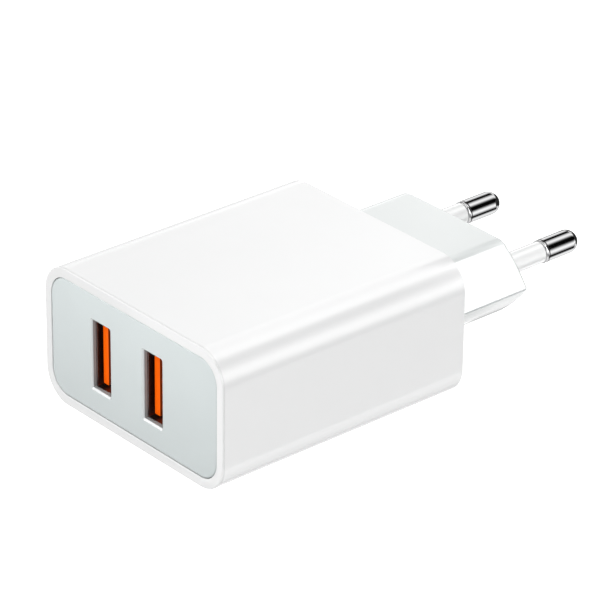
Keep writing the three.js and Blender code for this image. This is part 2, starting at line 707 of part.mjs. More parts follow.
/** The transformer: two core halves, the bobbin on their centre leg, and its taped winding. */
function makeTransformer() {
  const group = new THREE.Group();
  const gap = FIT_GAP;
  const coreLength = 2 * (CORE_PLATE + CORE_LEG_LENGTH) + gap;
  const windowLength = coreLength - 2 * CORE_PLATE;
  const middle = coreLength / 2;
  const tubeInner = CORE_CENTRE_LEG + 2 * gap;
  const tubeOuter = tubeInner + 2 * BOBBIN_WALL;
  const windingInner = tubeOuter + 2 * gap;
  const windingWidth = CORE_WIDTH - 2 * CORE_SIDE_LEG - 2 * 0.4;
  const windingHeight = windingWidth + 0.2;
  const flangeWidth = CORE_WIDTH - 2 * CORE_SIDE_LEG - 2 * gap;
  const flangeTop = windingHeight / 2 + gap;
  const footEnd = -TRANSFORMER_RISE + gap;
  const bobbinStart = CORE_PLATE + gap;
  const bobbinEnd = bobbinStart + windowLength - 2 * gap;

  const rear = makeCoreHalf();
  rear.rotateZ(2 * QUARTER_TURN);
  const flanges = [bobbinStart, bobbinEnd - BOBBIN_FLANGE].map((y) =>
    boxBetween([-flangeWidth / 2, flangeWidth / 2], [y, y + BOBBIN_FLANGE], [footEnd, flangeTop]),
  );
  const tube = roundedRectangle(tubeOuter, tubeOuter, 0.6);
  const tubeHole = roundedRectangle(tubeInner, tubeInner, 0.1);
  const bobbin = cut(join([...flanges, extrudeAlongY(tube, bobbinStart, bobbinEnd, 2)]), [
    extrudeAlongY(tubeHole, bobbinStart - OVERCUT, bobbinEnd + OVERCUT, 1),
  ]);
  const wound = roundedRectangle(windingWidth, windingHeight, 2.0);
  const woundHole = roundedRectangle(windingInner, windingInner, 0.9);
  const woundStart = bobbinStart + BOBBIN_FLANGE + gap;
  const woundEnd = bobbinEnd - BOBBIN_FLANGE - gap;
  const winding = cut(extrudeAlongY(wound, woundStart, woundEnd, 5), [
    extrudeAlongY(woundHole, woundStart - OVERCUT, woundEnd + OVERCUT, 3),
  ]);
  group.add(piece('transformer_core_front', makeCoreHalf(), ferrite));
  group.add(piece('transformer_core_rear', rear, ferrite, [0, 2 * middle, 0]));
  group.add(piece('transformer_bobbin', bobbin, bobbinBlack));
  group.add(piece('transformer_winding', winding, windingTape));
  group.position.set(0, TRANSFORMER_FRONT, BOARD_TOP + TRANSFORMER_RISE);
  return group;
}

/** An electrolytic capacitor standing on z = 0, with its crimp and recessed top. */
function makeCapacitor(diameter, height) {
  const radius = diameter / 2;
  const edge = 0.35;
  const crimp = 1.6;
  const can = turned(
    [
      [0, 0],
      [radius - edge, 0],
      [radius, edge],
      [radius, crimp - 0.5],
      [radius - edge, crimp],
      [radius, crimp + 0.5],
      [radius, height - edge],
      [radius - edge, height],
      [radius - 2 * edge, height],
      [radius - 2.4 * edge, height - 0.2],
      [0, height - 0.2],
    ],
    20,
  );
  can.rotateX(QUARTER_TURN);
  return can;
}

/** A moulded package on z = 0 with gull-wing leads along both sides that face X. */
function makePackage(width, length, height, leadsPerSide, pitch) {
  const lead = 0.4;
  const reach = 1.0;
  const standoff = 0.1;
  const parts = [boxBetween([-width / 2, width / 2], [-length / 2, length / 2], [standoff, height])];
  const first = (-(leadsPerSide - 1) * pitch) / 2;
  for (let i = 0; i < leadsPerSide; i += 1) {
    const y = [first + i * pitch - lead / 2, first + i * pitch + lead / 2];
    for (const side of [-1, 1]) {
      const shoulder = [side * (width / 2 - 0.3), side * (width / 2 + reach)].sort((a, b) => a - b);
      const foot = [side * (width / 2 + reach - lead), side * (width / 2 + reach)].sort((a, b) => a - b);
      parts.push(boxBetween(shoulder, y, [height / 2 - 0.1, height / 2 + 0.1]));
      parts.push(boxBetween(foot, y, [0, height / 2]));
    }
  }
  return join(parts);
}

/** A round-bodied part lying along X above z = 0, on two bent wire leads. */
function makeAxialPart(radius, length, rise) {
  const bead = turned(
    [
      [0, -length / 2],
      [radius - 0.3, -length / 2],
      [radius, -length / 2 + 0.3],
      [radius, -length / 2 + 1.2],
      [radius - 0.15, -length / 2 + 1.5],
      [radius - 0.15, length / 2 - 1.5],
      [radius, length / 2 - 1.2],
      [radius, length / 2 - 0.3],
      [radius - 0.3, length / 2],
      [0, length / 2],
    ],
    16,
  );
  bead.rotateZ(-QUARTER_TURN);
  bead.translate(0, 0, rise);
  const leads = [-1, 1].map((side) =>
    wire(
      [
        [side * (length / 2 - 0.5), 0, rise],
        [side * (length / 2 + 0.5), 0, rise],
        [side * (length / 2 + 0.9), 0, rise - 0.4],
        [side * (length / 2 + 0.9), 0, 0],
      ],
      0.3,
    ),
  );
  return join([bead, ...leads]);
}

/** The filter choke: a drum core standing on z = 0, and the wire wound on its waist. */
function makeChoke() {
  const group = new THREE.Group();
  const [radius, waist, height, flange] = [3.5, 1.6, 8.0, 1.0];
  const core = turned(
    [
      [0, 0],
      [radius, 0],
      [radius, flange],
      [waist, flange],
      [waist, height - flange],
      [radius, height - flange],
      [radius, height],
      [0, height],
    ],
    20,
  );
  const bottom = flange + FIT_GAP;
  const top = height - flange - FIT_GAP;
  const coil = turned(
    [
      [waist + FIT_GAP, bottom],
      [radius - 0.4, bottom],
      [radius - 0.2, bottom + 0.4],
      [radius - 0.2, top - 0.4],
      [radius - 0.4, top],
      [waist + FIT_GAP, top],
      [waist + FIT_GAP, bottom],
    ],
    20,
  );
  core.rotateX(QUARTER_TURN);
  coil.rotateX(QUARTER_TURN);
  group.add(piece('filter_choke_core', core, ferrite));
  group.add(piece('filter_choke_winding', coil, copperWire));
  return group;
}

/** A disc capacitor standing on edge above z = 0, flat across Y, with two wire leads. */
function makeDiscCapacitor(diameter, thickness) {
  const radius = diameter / 2;
  const rise = radius + 1.2;
  const disc = turned(
    [
      [0, -thickness / 2],
      [radius * 0.6, -thickness / 2],
      [radius * 0.92, -thickness / 4],
      [radius, 0],
      [radius * 0.92, thickness / 4],
      [radius * 0.6, thickness / 2],
      [0, thickness / 2],
    ],
    20,
  );
  disc.translate(0, 0, rise);
  const leads = [-1, 1].map((side) => roundBarUpright(0.3, 0, rise - radius * 0.5, side * radius * 0.5));
  return join([disc, ...leads]);
}

/** A round bar along +Z at y = 0. */
function roundBarUpright(radius, start, end, x) {
  const bar = new THREE.CylinderGeometry(radius, radius, end - start, 8);
  bar.rotateX(QUARTER_TURN);
  bar.translate(x, 0, (start + end) / 2);
  return bar;
}

/** The parts that stand on the board, in a frame whose z = 0 is just above the board's top. */
function makeBoardParts() {
  const group = new THREE.Group();
  const signalPackage = () => makePackage(3.9, 4.9, 1.6, 4, 1.27);
  const parts = [
    ['bulk_capacitor_front', makeCapacitor(8.0, 14.0), canBlack, [-14.2, 27.6]],
    ['bulk_capacitor_rear', makeCapacitor(8.0, 14.0), canBlack, [-14.2, 36.3]],
    ['output_capacitor_front', makeCapacitor(6.3, 11.0), canGreen, [14.2, 8.4]],
    ['output_capacitor_rear', makeCapacitor(6.3, 11.0), canGreen, [14.2, 15.8]],
    ['port_controller_left', signalPackage(), packageBlack, [-15.0, 8.0]],
    ['port_controller_right', signalPackage(), packageBlack, [-1.55, 8.0]],
    ['sync_rectifier', signalPackage(), packageBlack, [-1.15, 15.0]],
    ['optocoupler', makePackage(4.4, 4.6, 3.4, 2, 2.54), opticalWhite, [-15.0, 14.2]],
    ['safety_capacitor', makeDiscCapacitor(7.0, 3.0), ceramicBlue, [-14.6, 20.4]],
    ['primary_controller', signalPackage(), packageBlack, [14.2, 33.0]],
    ['bridge_rectifier', makePackage(4.4, 4.0, 2.4, 2, 2.5), packageBlack, [14.2, 38.0]],
    ['fuse', makeAxialPart(1.5, 7.0, 2.2), fuseBeige, [0, 40.6]],
    ['clamp_diode', makeAxialPart(1.2, 4.0, 1.6), packageBlack, [14.4, 42.0]],
  ];
  for (const [name, geometry, material, [x, y]] of parts) {
    group.add(piece(name, geometry, material, [x, y, 0]));
  }
  const choke = makeChoke();
  choke.position.set(14.2, 26.4, 0);
  group.add(choke);
  group.position.set(0, 0, BOARD_TOP + FIT_GAP);
  return group;
}

// ---------------------------------------------------------------- assembly

/** The whole charger in a frame whose origin is the middle of the front plane. */
function makeCharger() {
  const charger = new THREE.Group();
  charger.add(piece('main_housing', makeMainHousing(), whitePlastic));
  charger.add(piece('front_panel', makeFrontPanel(), panelPlastic));
  charger.add(piece('rear_cover', makeRearCover(), whitePlastic));
  charger.add(makePlugPins());
  charger.add(makeUsbPort('left'));
  charger.add(makeUsbPort('right'));
  charger.add(piece('main_board', makeMainBoard(), boardGreen));
  charger.add(piece('insulation_sheet', makeInsulationSheet(), polyesterFilm));
  charger.add(makeTransformer());
  charger.add(makeBoardParts());
  charger.position.set(0, -OVERALL_LENGTH / 2, BODY_HEIGHT / 2);
  return charger;
}

const group = new THREE.Group();
group.add(makeCharger());

export default group;
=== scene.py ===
"""The looks of a two-port USB wall charger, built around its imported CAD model.

Outlines are worked out in millimetres in the frame of the CAD model (+Y from the ports to the pins,
+Z up) and turned into metres when a mesh is made.
"""

import json
import math

import bmesh
import bpy
from mathutils import Matrix, Vector


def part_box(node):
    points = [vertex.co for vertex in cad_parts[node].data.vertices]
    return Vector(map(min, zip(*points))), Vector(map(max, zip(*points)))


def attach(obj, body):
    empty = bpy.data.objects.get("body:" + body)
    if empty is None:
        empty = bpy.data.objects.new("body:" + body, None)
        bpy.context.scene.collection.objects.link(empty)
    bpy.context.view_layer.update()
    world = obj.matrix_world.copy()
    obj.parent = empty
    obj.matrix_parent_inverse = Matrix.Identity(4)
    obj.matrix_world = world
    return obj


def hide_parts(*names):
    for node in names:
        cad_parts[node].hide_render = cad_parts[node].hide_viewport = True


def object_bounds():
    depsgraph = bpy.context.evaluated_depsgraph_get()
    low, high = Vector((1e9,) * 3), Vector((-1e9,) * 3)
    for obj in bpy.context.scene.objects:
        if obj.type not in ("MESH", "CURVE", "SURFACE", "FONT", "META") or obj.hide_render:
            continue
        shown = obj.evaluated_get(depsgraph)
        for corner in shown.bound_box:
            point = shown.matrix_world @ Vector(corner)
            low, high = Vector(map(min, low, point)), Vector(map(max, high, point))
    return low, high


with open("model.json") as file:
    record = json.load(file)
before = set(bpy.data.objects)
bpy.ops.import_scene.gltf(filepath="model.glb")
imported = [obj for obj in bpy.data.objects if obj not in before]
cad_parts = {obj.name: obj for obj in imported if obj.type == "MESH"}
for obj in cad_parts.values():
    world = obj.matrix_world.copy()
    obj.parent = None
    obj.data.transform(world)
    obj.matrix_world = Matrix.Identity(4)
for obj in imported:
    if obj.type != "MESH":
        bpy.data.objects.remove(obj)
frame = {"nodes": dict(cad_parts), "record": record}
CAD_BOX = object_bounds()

MM = 0.001
MAIN_BODY = "charger"
SIDES = ("left", "right")


def corners(node):
    """The lowest and the highest corner of a CAD node, in millimetres."""
    low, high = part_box(node)
    return low / MM, high / MM


def middle(node):
    low, high = corners(node)
    return (low + high) / 2


# ---------------------------------------------------------------- driving dimensions, in millimetres

CASE_LOW, CASE_HIGH = corners("main_housing")
PANEL_LOW, PANEL_HIGH = corners("front_panel")
COVER_LOW, COVER_HIGH = corners("rear_cover")

PORT_Z = middle("usb_insulator_left").z

CASE_CENTRE = (0.0, (CASE_LOW.z + CASE_HIGH.z) / 2)
CASE_HALF = (CASE_HIGH.x, (CASE_HIGH.z - CASE_LOW.z) / 2)
CASE_RADIUS = 5.4
CASE_WALL = 2.0
RIM_WIDTH = 1.5
RIM_HEIGHT = 1.7
RIM_OUTER_ROUND = 0.22
RIM_INNER_ROUND = 0.12
RIM_LINE = (0.28, 0.4)  # the start and the end, behind the front, of the parting line round the case
RIM_LINE_DEPTH = 0.07
RECESS_RADIUS = 3.9
RECESS_DEPTH = 1.3
FRONT_WALL = 1.6
SEAT_STEP = 0.9  # how much wider than the cavity the rear cover's seat is
SEAT_DEPTH = 2.4
GUIDE_WIDTH = 1.3
GUIDE_HEIGHT = 1.3
GUIDE_BEVEL = 0.15

PANEL_GAP = 0.1  # between the panel's edge and the rim
PANEL_THICKNESS = 0.9
PANEL_ROUND = 0.2
PEG_RADIUS = 1.0
PEG_X = 16.5
PEG_Z = 7.0
PEG_TIP_BEVEL = 0.3
APERTURE_HALF = (2.27, 6.02)
APERTURE_RADIUS = 0.12
APERTURE_CHAMFER = 0.3
APERTURE_LIP = 0.04  # how far each edge of the chamfer is softened

PLUG_CENTRE = (0.0, 12.35)
PLUG_HALF = (17.8, 6.55)
PLUG_FLAT_HALF = 11.75  # half the width of the flat top, before its edges are rounded
PLUG_BULGE = 0.3  # how far the slanted sides swell outwards
PLUG_FILLET = 1.35
PLUG_SEAM = 0.14  # the depth and half the width of the groove that the mould leaves along each side
PLUG_CREASE = 0.3  # how far from the tip of each side its rounding reaches
PLUG_CREASE_SWELL = 0.1  # the share of the bulge's control point that is reached there
PLUG_WALL = 2.0
PLUG_END_WALL = 3.0
PLUG_END_ROUND = 0.5
PLUG_BASE_ROUND = 0.35
COVER_GAP = 0.2
COVER_ROUND = 0.15
SKIRT_GAP = 0.3
SKIRT_WALL = 1.5

PIN_X = 9.4
PIN_RADIUS = 2.0
PIN_HEAD = 8.1
PIN_RING = 0.5  # the length of the ring at the rear of the head, up to a dark groove
PIN_GROOVE_WIDTH = 0.22
PIN_GROOVE_DEPTH = 0.1
PIN_REAR_ROUND = 0.25
PIN_CORE = 1.1
PIN_COLLAR = 2.7
PIN_COLLAR_WIDTH = 1.0
PIN_COLLAR_BEVEL = 0.1
PIN_STUB = 1.5
PIN_STUB_BEVEL = 0.3
PIN_HOLE = 1.9
PIN_HOLE_ROUND = 0.12
SLEEVE_RADIUS = 1.85
SLEEVE_ROUND = 0.06
SLEEVE_END_GAP = 0.08
SLEEVE_BORE = 1.3

SHEET_METAL = 0.3
SHELL_RADIUS = 0.6
SHELL_LEGS = (5.0, 12.0)  # behind the case's front
SHELL_LEG_HALF = 0.8
SHELL_LEG_OVERLAP = 1.2  # how far up the shell's side each leg reaches
SHELL_LEG_BEVEL = 0.05

# ---------------------------------------------------------------- how finely round shapes are divided

SMALLEST_RADIUS = 0.05  # millimetres
CORNER_STEPS = 24
SMALL_CORNER_STEPS = 6
EDGE_STEPS = 5
ROUND_STEPS = 64
PIN_HOLE_STEPS = 48
PIN_HOLE_EDGE_STEPS = 3
PIN_REAR_STEPS = 6
PIN_DOME_STEPS = 16
PEG_STEPS = 24
THIN_EDGE_STEPS = 4
PLUG_CREASE_STEPS = 3
PLUG_SIDE_STEPS = 12
PLUG_FILLET_STEPS = 10

# ---------------------------------------------------------------- shading, angles in degrees

SHARP_ANGLE = 35
PANEL_SHARP_ANGLE = 24
PIN_SHARP_ANGLE = 50
CAD_SHARP_ANGLE = 40
NORMAL_WEIGHT = 80
BEVEL_SEGMENTS = 2
BLOCK_BEVEL_PROFILE = 0.7
WELD_DISTANCE = 0.002  # millimetres
FLAT_ANGLE = 1  # facets that meet at less than this are merged
# Insulator faces whose normals lean at least this far sideways get painted shade.
SIDEWAYS = 0.9  # the least X part of the normal of a face that looks sideways
NOISE_RANGE = (0.3, 0.7)  # where most of the values of a noise texture lie
WAVE_LENGTH = 2 * math.pi / 20  # of a wave texture whose scale is 1


# ---------------------------------------------------------------- outlines


def rounded_rectangle(half, radius, centre, steps=CORNER_STEPS):
    """Points (x, z) round a rectangle with round corners."""
    points = []
    for quarter, (sx, sz) in enumerate(((1, 1), (-1, 1), (-1, -1), (1, -1))):
        for step in range(steps + 1):
            angle = math.radians(90) * (quarter + step / steps)
            x = centre[0] + sx * (half[0] - radius) + radius * math.cos(angle)
            z = centre[1] + sz * (half[1] - radius) + radius * math.sin(angle)
            points.append((x, z))
    return points


def moved_in(half, radius, inset):
    """Half sizes and corner radius of a rounded rectangle after its outline moves in."""
    return (half[0] - inset, half[1] - inset), max(radius - inset, SMALLEST_RADIUS)


def circle(radius, centre, steps=ROUND_STEPS):
    turns = [2 * math.pi * step / steps for step in range(steps)]
    return [(centre[0] + radius * math.cos(t), centre[1] + radius * math.sin(t)) for t in turns]


def quadratic(start, control, end, steps):
    """Points along a curve from start towards control and on to end, without the start."""
    points = []
    for step in range(1, steps + 1):
        t = step / steps
        weights = ((1 - t) ** 2, 2 * t * (1 - t), t * t)
        points.append(tuple(sum(w * p[i] for w, p in zip(weights, (start, control, end))) for i in (0, 1)))
    return points


def plug_quarter(inset):
    """The plug's outline from the seam along its side up to the top flat, for x and z above zero."""
    run = PLUG_HALF[0] - PLUG_FLAT_HALF
    side = math.hypot(run, PLUG_HALF[1])
    tip = PLUG_HALF[0] - inset * side / PLUG_HALF[1]
    top = PLUG_HALF[1] - inset
    top_x = tip - top * run / PLUG_HALF[1]
    along = (run / side, PLUG_HALF[1] / side)
    bulge = (2 * PLUG_BULGE * along[1], 2 * PLUG_BULGE * along[0])
    crease = (tip - PLUG_CREASE * along[0] + PLUG_CREASE_SWELL * bulge[0], PLUG_CREASE * along[1])
    fillet_start = (top_x + PLUG_FILLET * along[0], top - PLUG_FILLET * along[1])
    swell = ((tip + top_x) / 2 + bulge[0], top / 2 + bulge[1])
    seam_edge = (tip, PLUG_SEAM)
    top_edge = (top_x + bulge[0] / 2, top)
    top_start = (top_x - PLUG_FILLET, top)
    points = [seam_edge] + quadratic(seam_edge, (tip, crease[1] / 2), crease, PLUG_CREASE_STEPS)
    points += quadratic(crease, swell, fillet_start, PLUG_SIDE_STEPS)
    points += quadratic(fillet_start, top_edge, top_start, PLUG_FILLET_STEPS)
    return points


def plug_outline(inset):
    """Points (x, z) round the six-sided plug, moved in by inset."""
    quarter = plug_quarter(inset)
    half = quarter + [(-x, z) for x, z in reversed(quarter)]
    tip = PLUG_HALF[0] - inset * math.hypot(PLUG_HALF[0] - PLUG_FLAT_HALF, PLUG_HALF[1]) / PLUG_HALF[1]
    ring = [(tip - PLUG_SEAM, 0.0)] + half + [(PLUG_SEAM - tip, 0.0)] + [(-x, -z) for x, z in half]
    return [(PLUG_CENTRE[0] + x, PLUG_CENTRE[1] + z) for x, z in ring]


def quarter_round(radius, steps=EDGE_STEPS):
    """Pairs (inset, depth) from a flat face over a rounded edge to the side below it."""
    turns = [math.radians(90) * step / steps for step in range(steps + 1)]
    return [(radius * (1 - math.sin(t)), radius * (1 - math.cos(t))) for t in turns]


def square_groove(depth, start, end):
    """Pairs (inset, y) down into a groove across a surface and up out of it."""
    return [(0.0, start), (depth, start), (depth, end), (0.0, end)]


# ---------------------------------------------------------------- surfaces


class Skin:
    """A closed surface, built up from loops of points in millimetres."""

    def __init__(self):
        self.mesh = bmesh.new()

    def loop(self, outline, y):
        return [self.mesh.verts.new((x, y, z)) for x, z in outline]

    def band(self, first, second):
        for i, vertex in enumerate(first):
            j = (i + 1) % len(first)
            self.mesh.faces.new((vertex, first[j], second[j], second[i]))

    def paint(self, finish_index, build):
        """Gives the faces that build() adds another of the piece's finishes."""
        known = set(self.mesh.faces)
        build()
        for face in set(self.mesh.faces) - known:
            face.material_index = finish_index

    def paint_where(self, finish_index, test):
        """Gives the faces whose middles pass a test another of the piece's finishes."""
        for face in self.mesh.faces:
            if test(face.calc_center_median()):
                face.material_index = finish_index

    def sleeve(self, loops):
        """The surface through a row of loops. Returns the last one."""
        for first, second in zip(loops, loops[1:]):
            self.band(first, second)
        return loops[-1]

    def flat(self, *loops):
        """A flat face: the first loop is its edge, and the others are its holes."""
        edges = []
        for loop in loops:
            for i, vertex in enumerate(loop):
                pair = (vertex, loop[(i + 1) % len(loop)])
                edges.append(self.mesh.edges.get(pair) or self.mesh.edges.new(pair))
        bmesh.ops.triangle_fill(self.mesh, use_beauty=True, use_dissolve=False, edges=edges)

    def block(self, low, high, bevel):
        """A separate closed block with bevelled edges."""
        size = [b - a for a, b in zip(low, high)]
        centre = Vector([(a + b) / 2 for a, b in zip(low, high)])
        matrix = Matrix.Translation(centre) @ Matrix.Diagonal((*size, 1.0))
        made = bmesh.ops.create_cube(self.mesh, size=1.0, matrix=matrix)
        edges = list({edge for vertex in made["verts"] for edge in vertex.link_edges})
        bmesh.ops.bevel(self.mesh, geom=edges, offset=bevel, segments=BEVEL_SEGMENTS,
                        profile=BLOCK_BEVEL_PROFILE, affect="EDGES")

    def turned(self, profile, centre):
        """A surface of revolution round a line along Y, from (radius, y) pairs. A radius of 0 is a pole."""
        previous = None
        for radius, y in profile:
            if radius > 0:
                ring = self.loop(circle(radius, centre), y)
            else:
                ring = [self.mesh.verts.new((centre[0], y, centre[1]))]
            if previous:
                self.join_rings(previous, ring)
            previous = ring

    def join_rings(self, first, second):
        """The surface between two rings, either of which may be a single point."""
        if len(first) > 1 and len(second) > 1:
            self.band(first, second)
            return
        pole, ring = (first[0], second) if len(first) == 1 else (second[0], first)
        for i, vertex in enumerate(ring):
            self.mesh.faces.new((pole, vertex, ring[(i + 1) % len(ring)]))

    def piece(self, name, finishes, body, nodes, sharp=SHARP_ANGLE):
        """Makes the object, which stands for its CAD nodes and rides on a body."""
        bmesh.ops.recalc_face_normals(self.mesh, faces=self.mesh.faces)
        bmesh.ops.scale(self.mesh, vec=(MM, MM, MM), verts=self.mesh.verts)
        data = bpy.data.meshes.new(name)
        self.mesh.to_mesh(data)
        self.mesh.free()
        for finish in finishes:
            data.materials.append(finish)
        made = add_object(name, data)
        weigh_normals(made, sharp)
        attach(made, body)
        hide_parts(*nodes)
        return made


def add_object(name, data):
    """Puts a new object into the scene, with its mesh, light or camera."""
    made = bpy.data.objects.new(name, data)
    bpy.context.scene.collection.objects.link(made)
    return made


def weigh_normals(made, sharp):
    """Keeps flat faces flat where they meet rounded edges, and edges over an angle sharp."""
    made.data.shade_smooth()
    made.data.set_sharp_from_angle(angle=math.radians(sharp))
    modifier = made.modifiers.new("Face normals", "WEIGHTED_NORMAL")
    modifier.keep_sharp = True
    modifier.weight = NORMAL_WEIGHT


# ---------------------------------------------------------------- finishes


class Nodes:
    """A node tree that is being built up."""

    def __init__(self, tree):
        self.tree = tree

    def add(self, kind, **settings):
        node = self.tree.nodes.new(kind)
        for name, value in settings.items():
            setattr(node, name, value)
        return node

    def link(self, output, target):
        self.tree.links.new(output, target)

    def split(self, place):
        """The X, Y and Z outputs of a place."""
        node = self.add("ShaderNodeSeparateXYZ")
        self.link(place, node.inputs["Vector"])
        return node.outputs

    def ramp(self, value, stops):
        """Colours from stops of (position, (r, g, b))."""
        node = self.add("ShaderNodeValToRGB")
        elements = node.color_ramp.elements
        while len(elements) < len(stops):
            elements.new(1.0)
        for element, (position, colour) in zip(elements, stops):
            element.position = position
            element.color = (*colour, 1.0)
        self.link(value, node.inputs["Fac"])
        return node.outputs["Color"]

    def span(self, value, low, high, source=NOISE_RANGE):
        """A value turned from its source range into the range from low to high."""
        node = self.add("ShaderNodeMapRange")
        node.inputs["From Min"].default_value, node.inputs["From Max"].default_value = source
        node.inputs["To Min"].default_value, node.inputs["To Max"].default_value = low, high
        self.link(value, node.inputs["Value"])
        return node.outputs["Result"]

    def bands_round_y(self, place, bands):
        """Brightness by the angle round Y, as a share of its peak. Returns the output and the peak."""
        angle = self.add("ShaderNodeMath", operation="ARCTAN2")
        parts = self.split(place)
        self.link(parts["X"], angle.inputs[0])
        self.link(parts["Z"], angle.inputs[1])
        turn = self.span(angle.outputs["Value"], 0.0, 1.0, (-math.pi, math.pi))
        peak = max(level for _, level in bands)
        stops = [((degrees + 180) / 360, (level / peak,) * 3) for degrees, level in bands]
        return self.ramp(turn, stops), peak


class Finish(Nodes):
    """One material, built up round its shader."""

    def __init__(self, name, **sockets):
        self.material = bpy.data.materials.new(name)
        self.material.use_nodes = True
        super().__init__(self.material.node_tree)
        self.shader = self.tree.nodes["Principled BSDF"]
        self.place = self.add("ShaderNodeTexCoord").outputs["Object"]
        for socket, value in sockets.items():
            self.shader.inputs[socket.replace("_", " ")].default_value = value

    def stretched(self, scale):
        """The place in the object, with each axis scaled."""
        mapping = self.add("ShaderNodeMapping")
        mapping.inputs["Scale"].default_value = scale
        self.link(self.place, mapping.inputs["Vector"])
        return mapping.outputs["Vector"]

    def noise(self, size, detail=3.0, stretch=(1, 1, 1)):
        """Noise with features of about size millimetres."""
        node = self.add("ShaderNodeTexNoise")
        node.inputs["Scale"].default_value = 1 / (size * MM)
        node.inputs["Detail"].default_value = detail
        self.link(self.stretched(stretch), node.inputs["Vector"])
        return node.outputs["Fac"]

    def cells(self, size):
        """Round cells of about size millimetres."""
        node = self.add("ShaderNodeTexVoronoi")
        node.inputs["Scale"].default_value = 1 / (size * MM)
        self.link(self.place, node.inputs["Vector"])
        return node.outputs["Distance"]

    def stripes(self, pitch, axis, distortion=0.0, profile="SIN"):
        """Bands that repeat every pitch millimetres along an axis."""
        node = self.add("ShaderNodeTexWave", wave_type="BANDS", bands_direction=axis, wave_profile=profile)
        node.inputs["Scale"].default_value = WAVE_LENGTH / (pitch * MM)
        node.inputs["Distortion"].default_value = distortion
        self.link(self.place, node.inputs["Vector"])
        return node.outputs["Fac"]

    def colour(self, output):
        self.link(output, self.shader.inputs["Base Color"])

    def two_tones(self, noise, dark, light):
        """Colours the surface from dark to light by the value of a noise texture."""
        self.colour(self.ramp(noise, list(zip(NOISE_RANGE, (dark, light)))))

    def roughness(self, output):
        self.link(output, self.shader.inputs["Roughness"])

    def bump(self, output, height, strength=1.0):
        """Relief of a height in millimetres."""
        node = self.add("ShaderNodeBump")
        node.inputs["Distance"].default_value = height * MM
        node.inputs["Strength"].default_value = strength
        self.link(output, node.inputs["Height"])
        if self.shader.inputs["Normal"].is_linked:
            self.link(self.shader.inputs["Normal"].links[0].from_socket, node.inputs["Normal"])
        self.link(node.outputs["Normal"], self.shader.inputs["Normal"])


def shades(colour, spread):
    """A darker and a lighter version of a colour."""
    return tuple(c * (1 - spread) for c in colour), tuple(min(1.0, c * (1 + spread)) for c in colour)


def moulded(name, colour, rough, spread=0.02, grain=0.12, relief=0.002, **sockets):
    """Injection-moulded plastic: a fine grain, and slow changes of tone and gloss."""
    finish = Finish(name, **sockets)
    finish.two_tones(finish.noise(9.0), *shades(colour, spread))
    finish.roughness(finish.span(finish.noise(2.5), rough * 0.9, rough * 1.1))
    finish.bump(finish.noise(grain, detail=2.0), relief)
    return finish


def polish(finish, rough, ior):
    """Adds the clear sheen of a polished mould. Returns the material."""
    for socket, value in (("Weight", 1.0), ("Roughness", rough), ("IOR", ior)):
        finish.shader.inputs[f"Coat {socket}"].default_value = value
    return finish.material


def case_plastic():
    """Glossy white plastic with the faint ripple of a polished mould."""
    finish = moulded("case_plastic", (0.86, 0.862, 0.862), rough=0.2, spread=0.006, grain=0.9,
                     relief=0.0012, IOR=1.5)
    return polish(finish, rough=0.13, ior=1.7)


def shaded_plug_plastic():
    """The case's plastic on the rear cover, with a little more grain, in a darker grey-green that is
    painted shade.
    """
    # Its tone, darker than the case's, is painted shade.
    finish = moulded("shaded_plug_plastic", (0.75, 0.778, 0.772), rough=0.24, spread=0.006, grain=0.5,
                     relief=0.0015, IOR=1.5)
    return polish(finish, rough=0.13, ior=1.6)


def seam_shade_plastic():
    """The plug's plastic in the seams of the mould: duller, and darker as painted shade in the groove."""
    return moulded("seam_shade_plastic", (0.62, 0.64, 0.64), rough=0.6, grain=0.3, relief=0.001).material


def panel_plastic():
    """Satin pale grey-green plastic with the fine even texture of a spark-eroded mould."""
    return moulded("panel_plastic", (0.52, 0.562, 0.562), rough=0.42, spread=0.012, grain=0.11,
                   relief=0.004).material


def polished_bevel():
    """The panel's plastic where its apertures are bevelled and polished."""
    finish = moulded("panel_bevel", (0.5, 0.53, 0.53), rough=0.2, grain=0.6, relief=0.001)
    return polish(finish, rough=0.1, ior=2.0)


def shaded_aperture_wall():
    """The wall of an aperture, from its bevel inwards, in a darker grey that is painted shade."""
    return moulded("shaded_aperture_wall", (0.3, 0.335, 0.335), rough=0.35, spread=0.03, grain=0.4,
                   relief=0.001).material


def sleeve_plastic():
    """Smooth, bright white plastic."""
    finish = moulded("sleeve_plastic", (0.92, 0.925, 0.922), rough=0.2, spread=0.008, grain=0.6,
                     relief=0.0015)
    return polish(finish, rough=0.12, ior=1.6)


def port_plastic():
    """Orange plastic with fine flow lines along the tongue, and a faint orange emission that is a painted
    glow.
    """
    # The emission is a painted glow that brightens the tongue.
    finish = Finish("port_plastic", Specular_IOR_Level=0.1, Emission_Strength=0.3)
    finish.shader.inputs["Emission Color"].default_value = (1.0, 0.09, 0.0, 1.0)
    flow = finish.noise(0.9, stretch=(1, 0.2, 1))
    finish.two_tones(flow, (0.96, 0.135, 0.0), (1.0, 0.155, 0.001))
    finish.roughness(finish.span(finish.noise(0.4), 0.38, 0.5))
    finish.bump(finish.noise(0.08), 0.002)
    return finish.material


def port_side_shade():
    """The same plastic, duller, and deeper in tone as painted shade on the sides of the insulator and its
    tongue.
    """
    return moulded("port_side_shade", (0.5, 0.06, 0.0), rough=0.6, spread=0.08, grain=0.2).material


def drawn_metal(name, colour, rough, spread=0.06, relief=0.0015):
    """Metal with fine lines along Y, and slow changes of tone."""
    finish = Finish(name, Metallic=1.0)
    finish.two_tones(finish.noise(1.6), *shades(colour, spread))
    lines = finish.noise(0.05, stretch=(1, 0.04, 1))
    finish.roughness(finish.span(lines, rough * 0.75, rough * 1.25))
    finish.bump(lines, relief)
    return finish.material


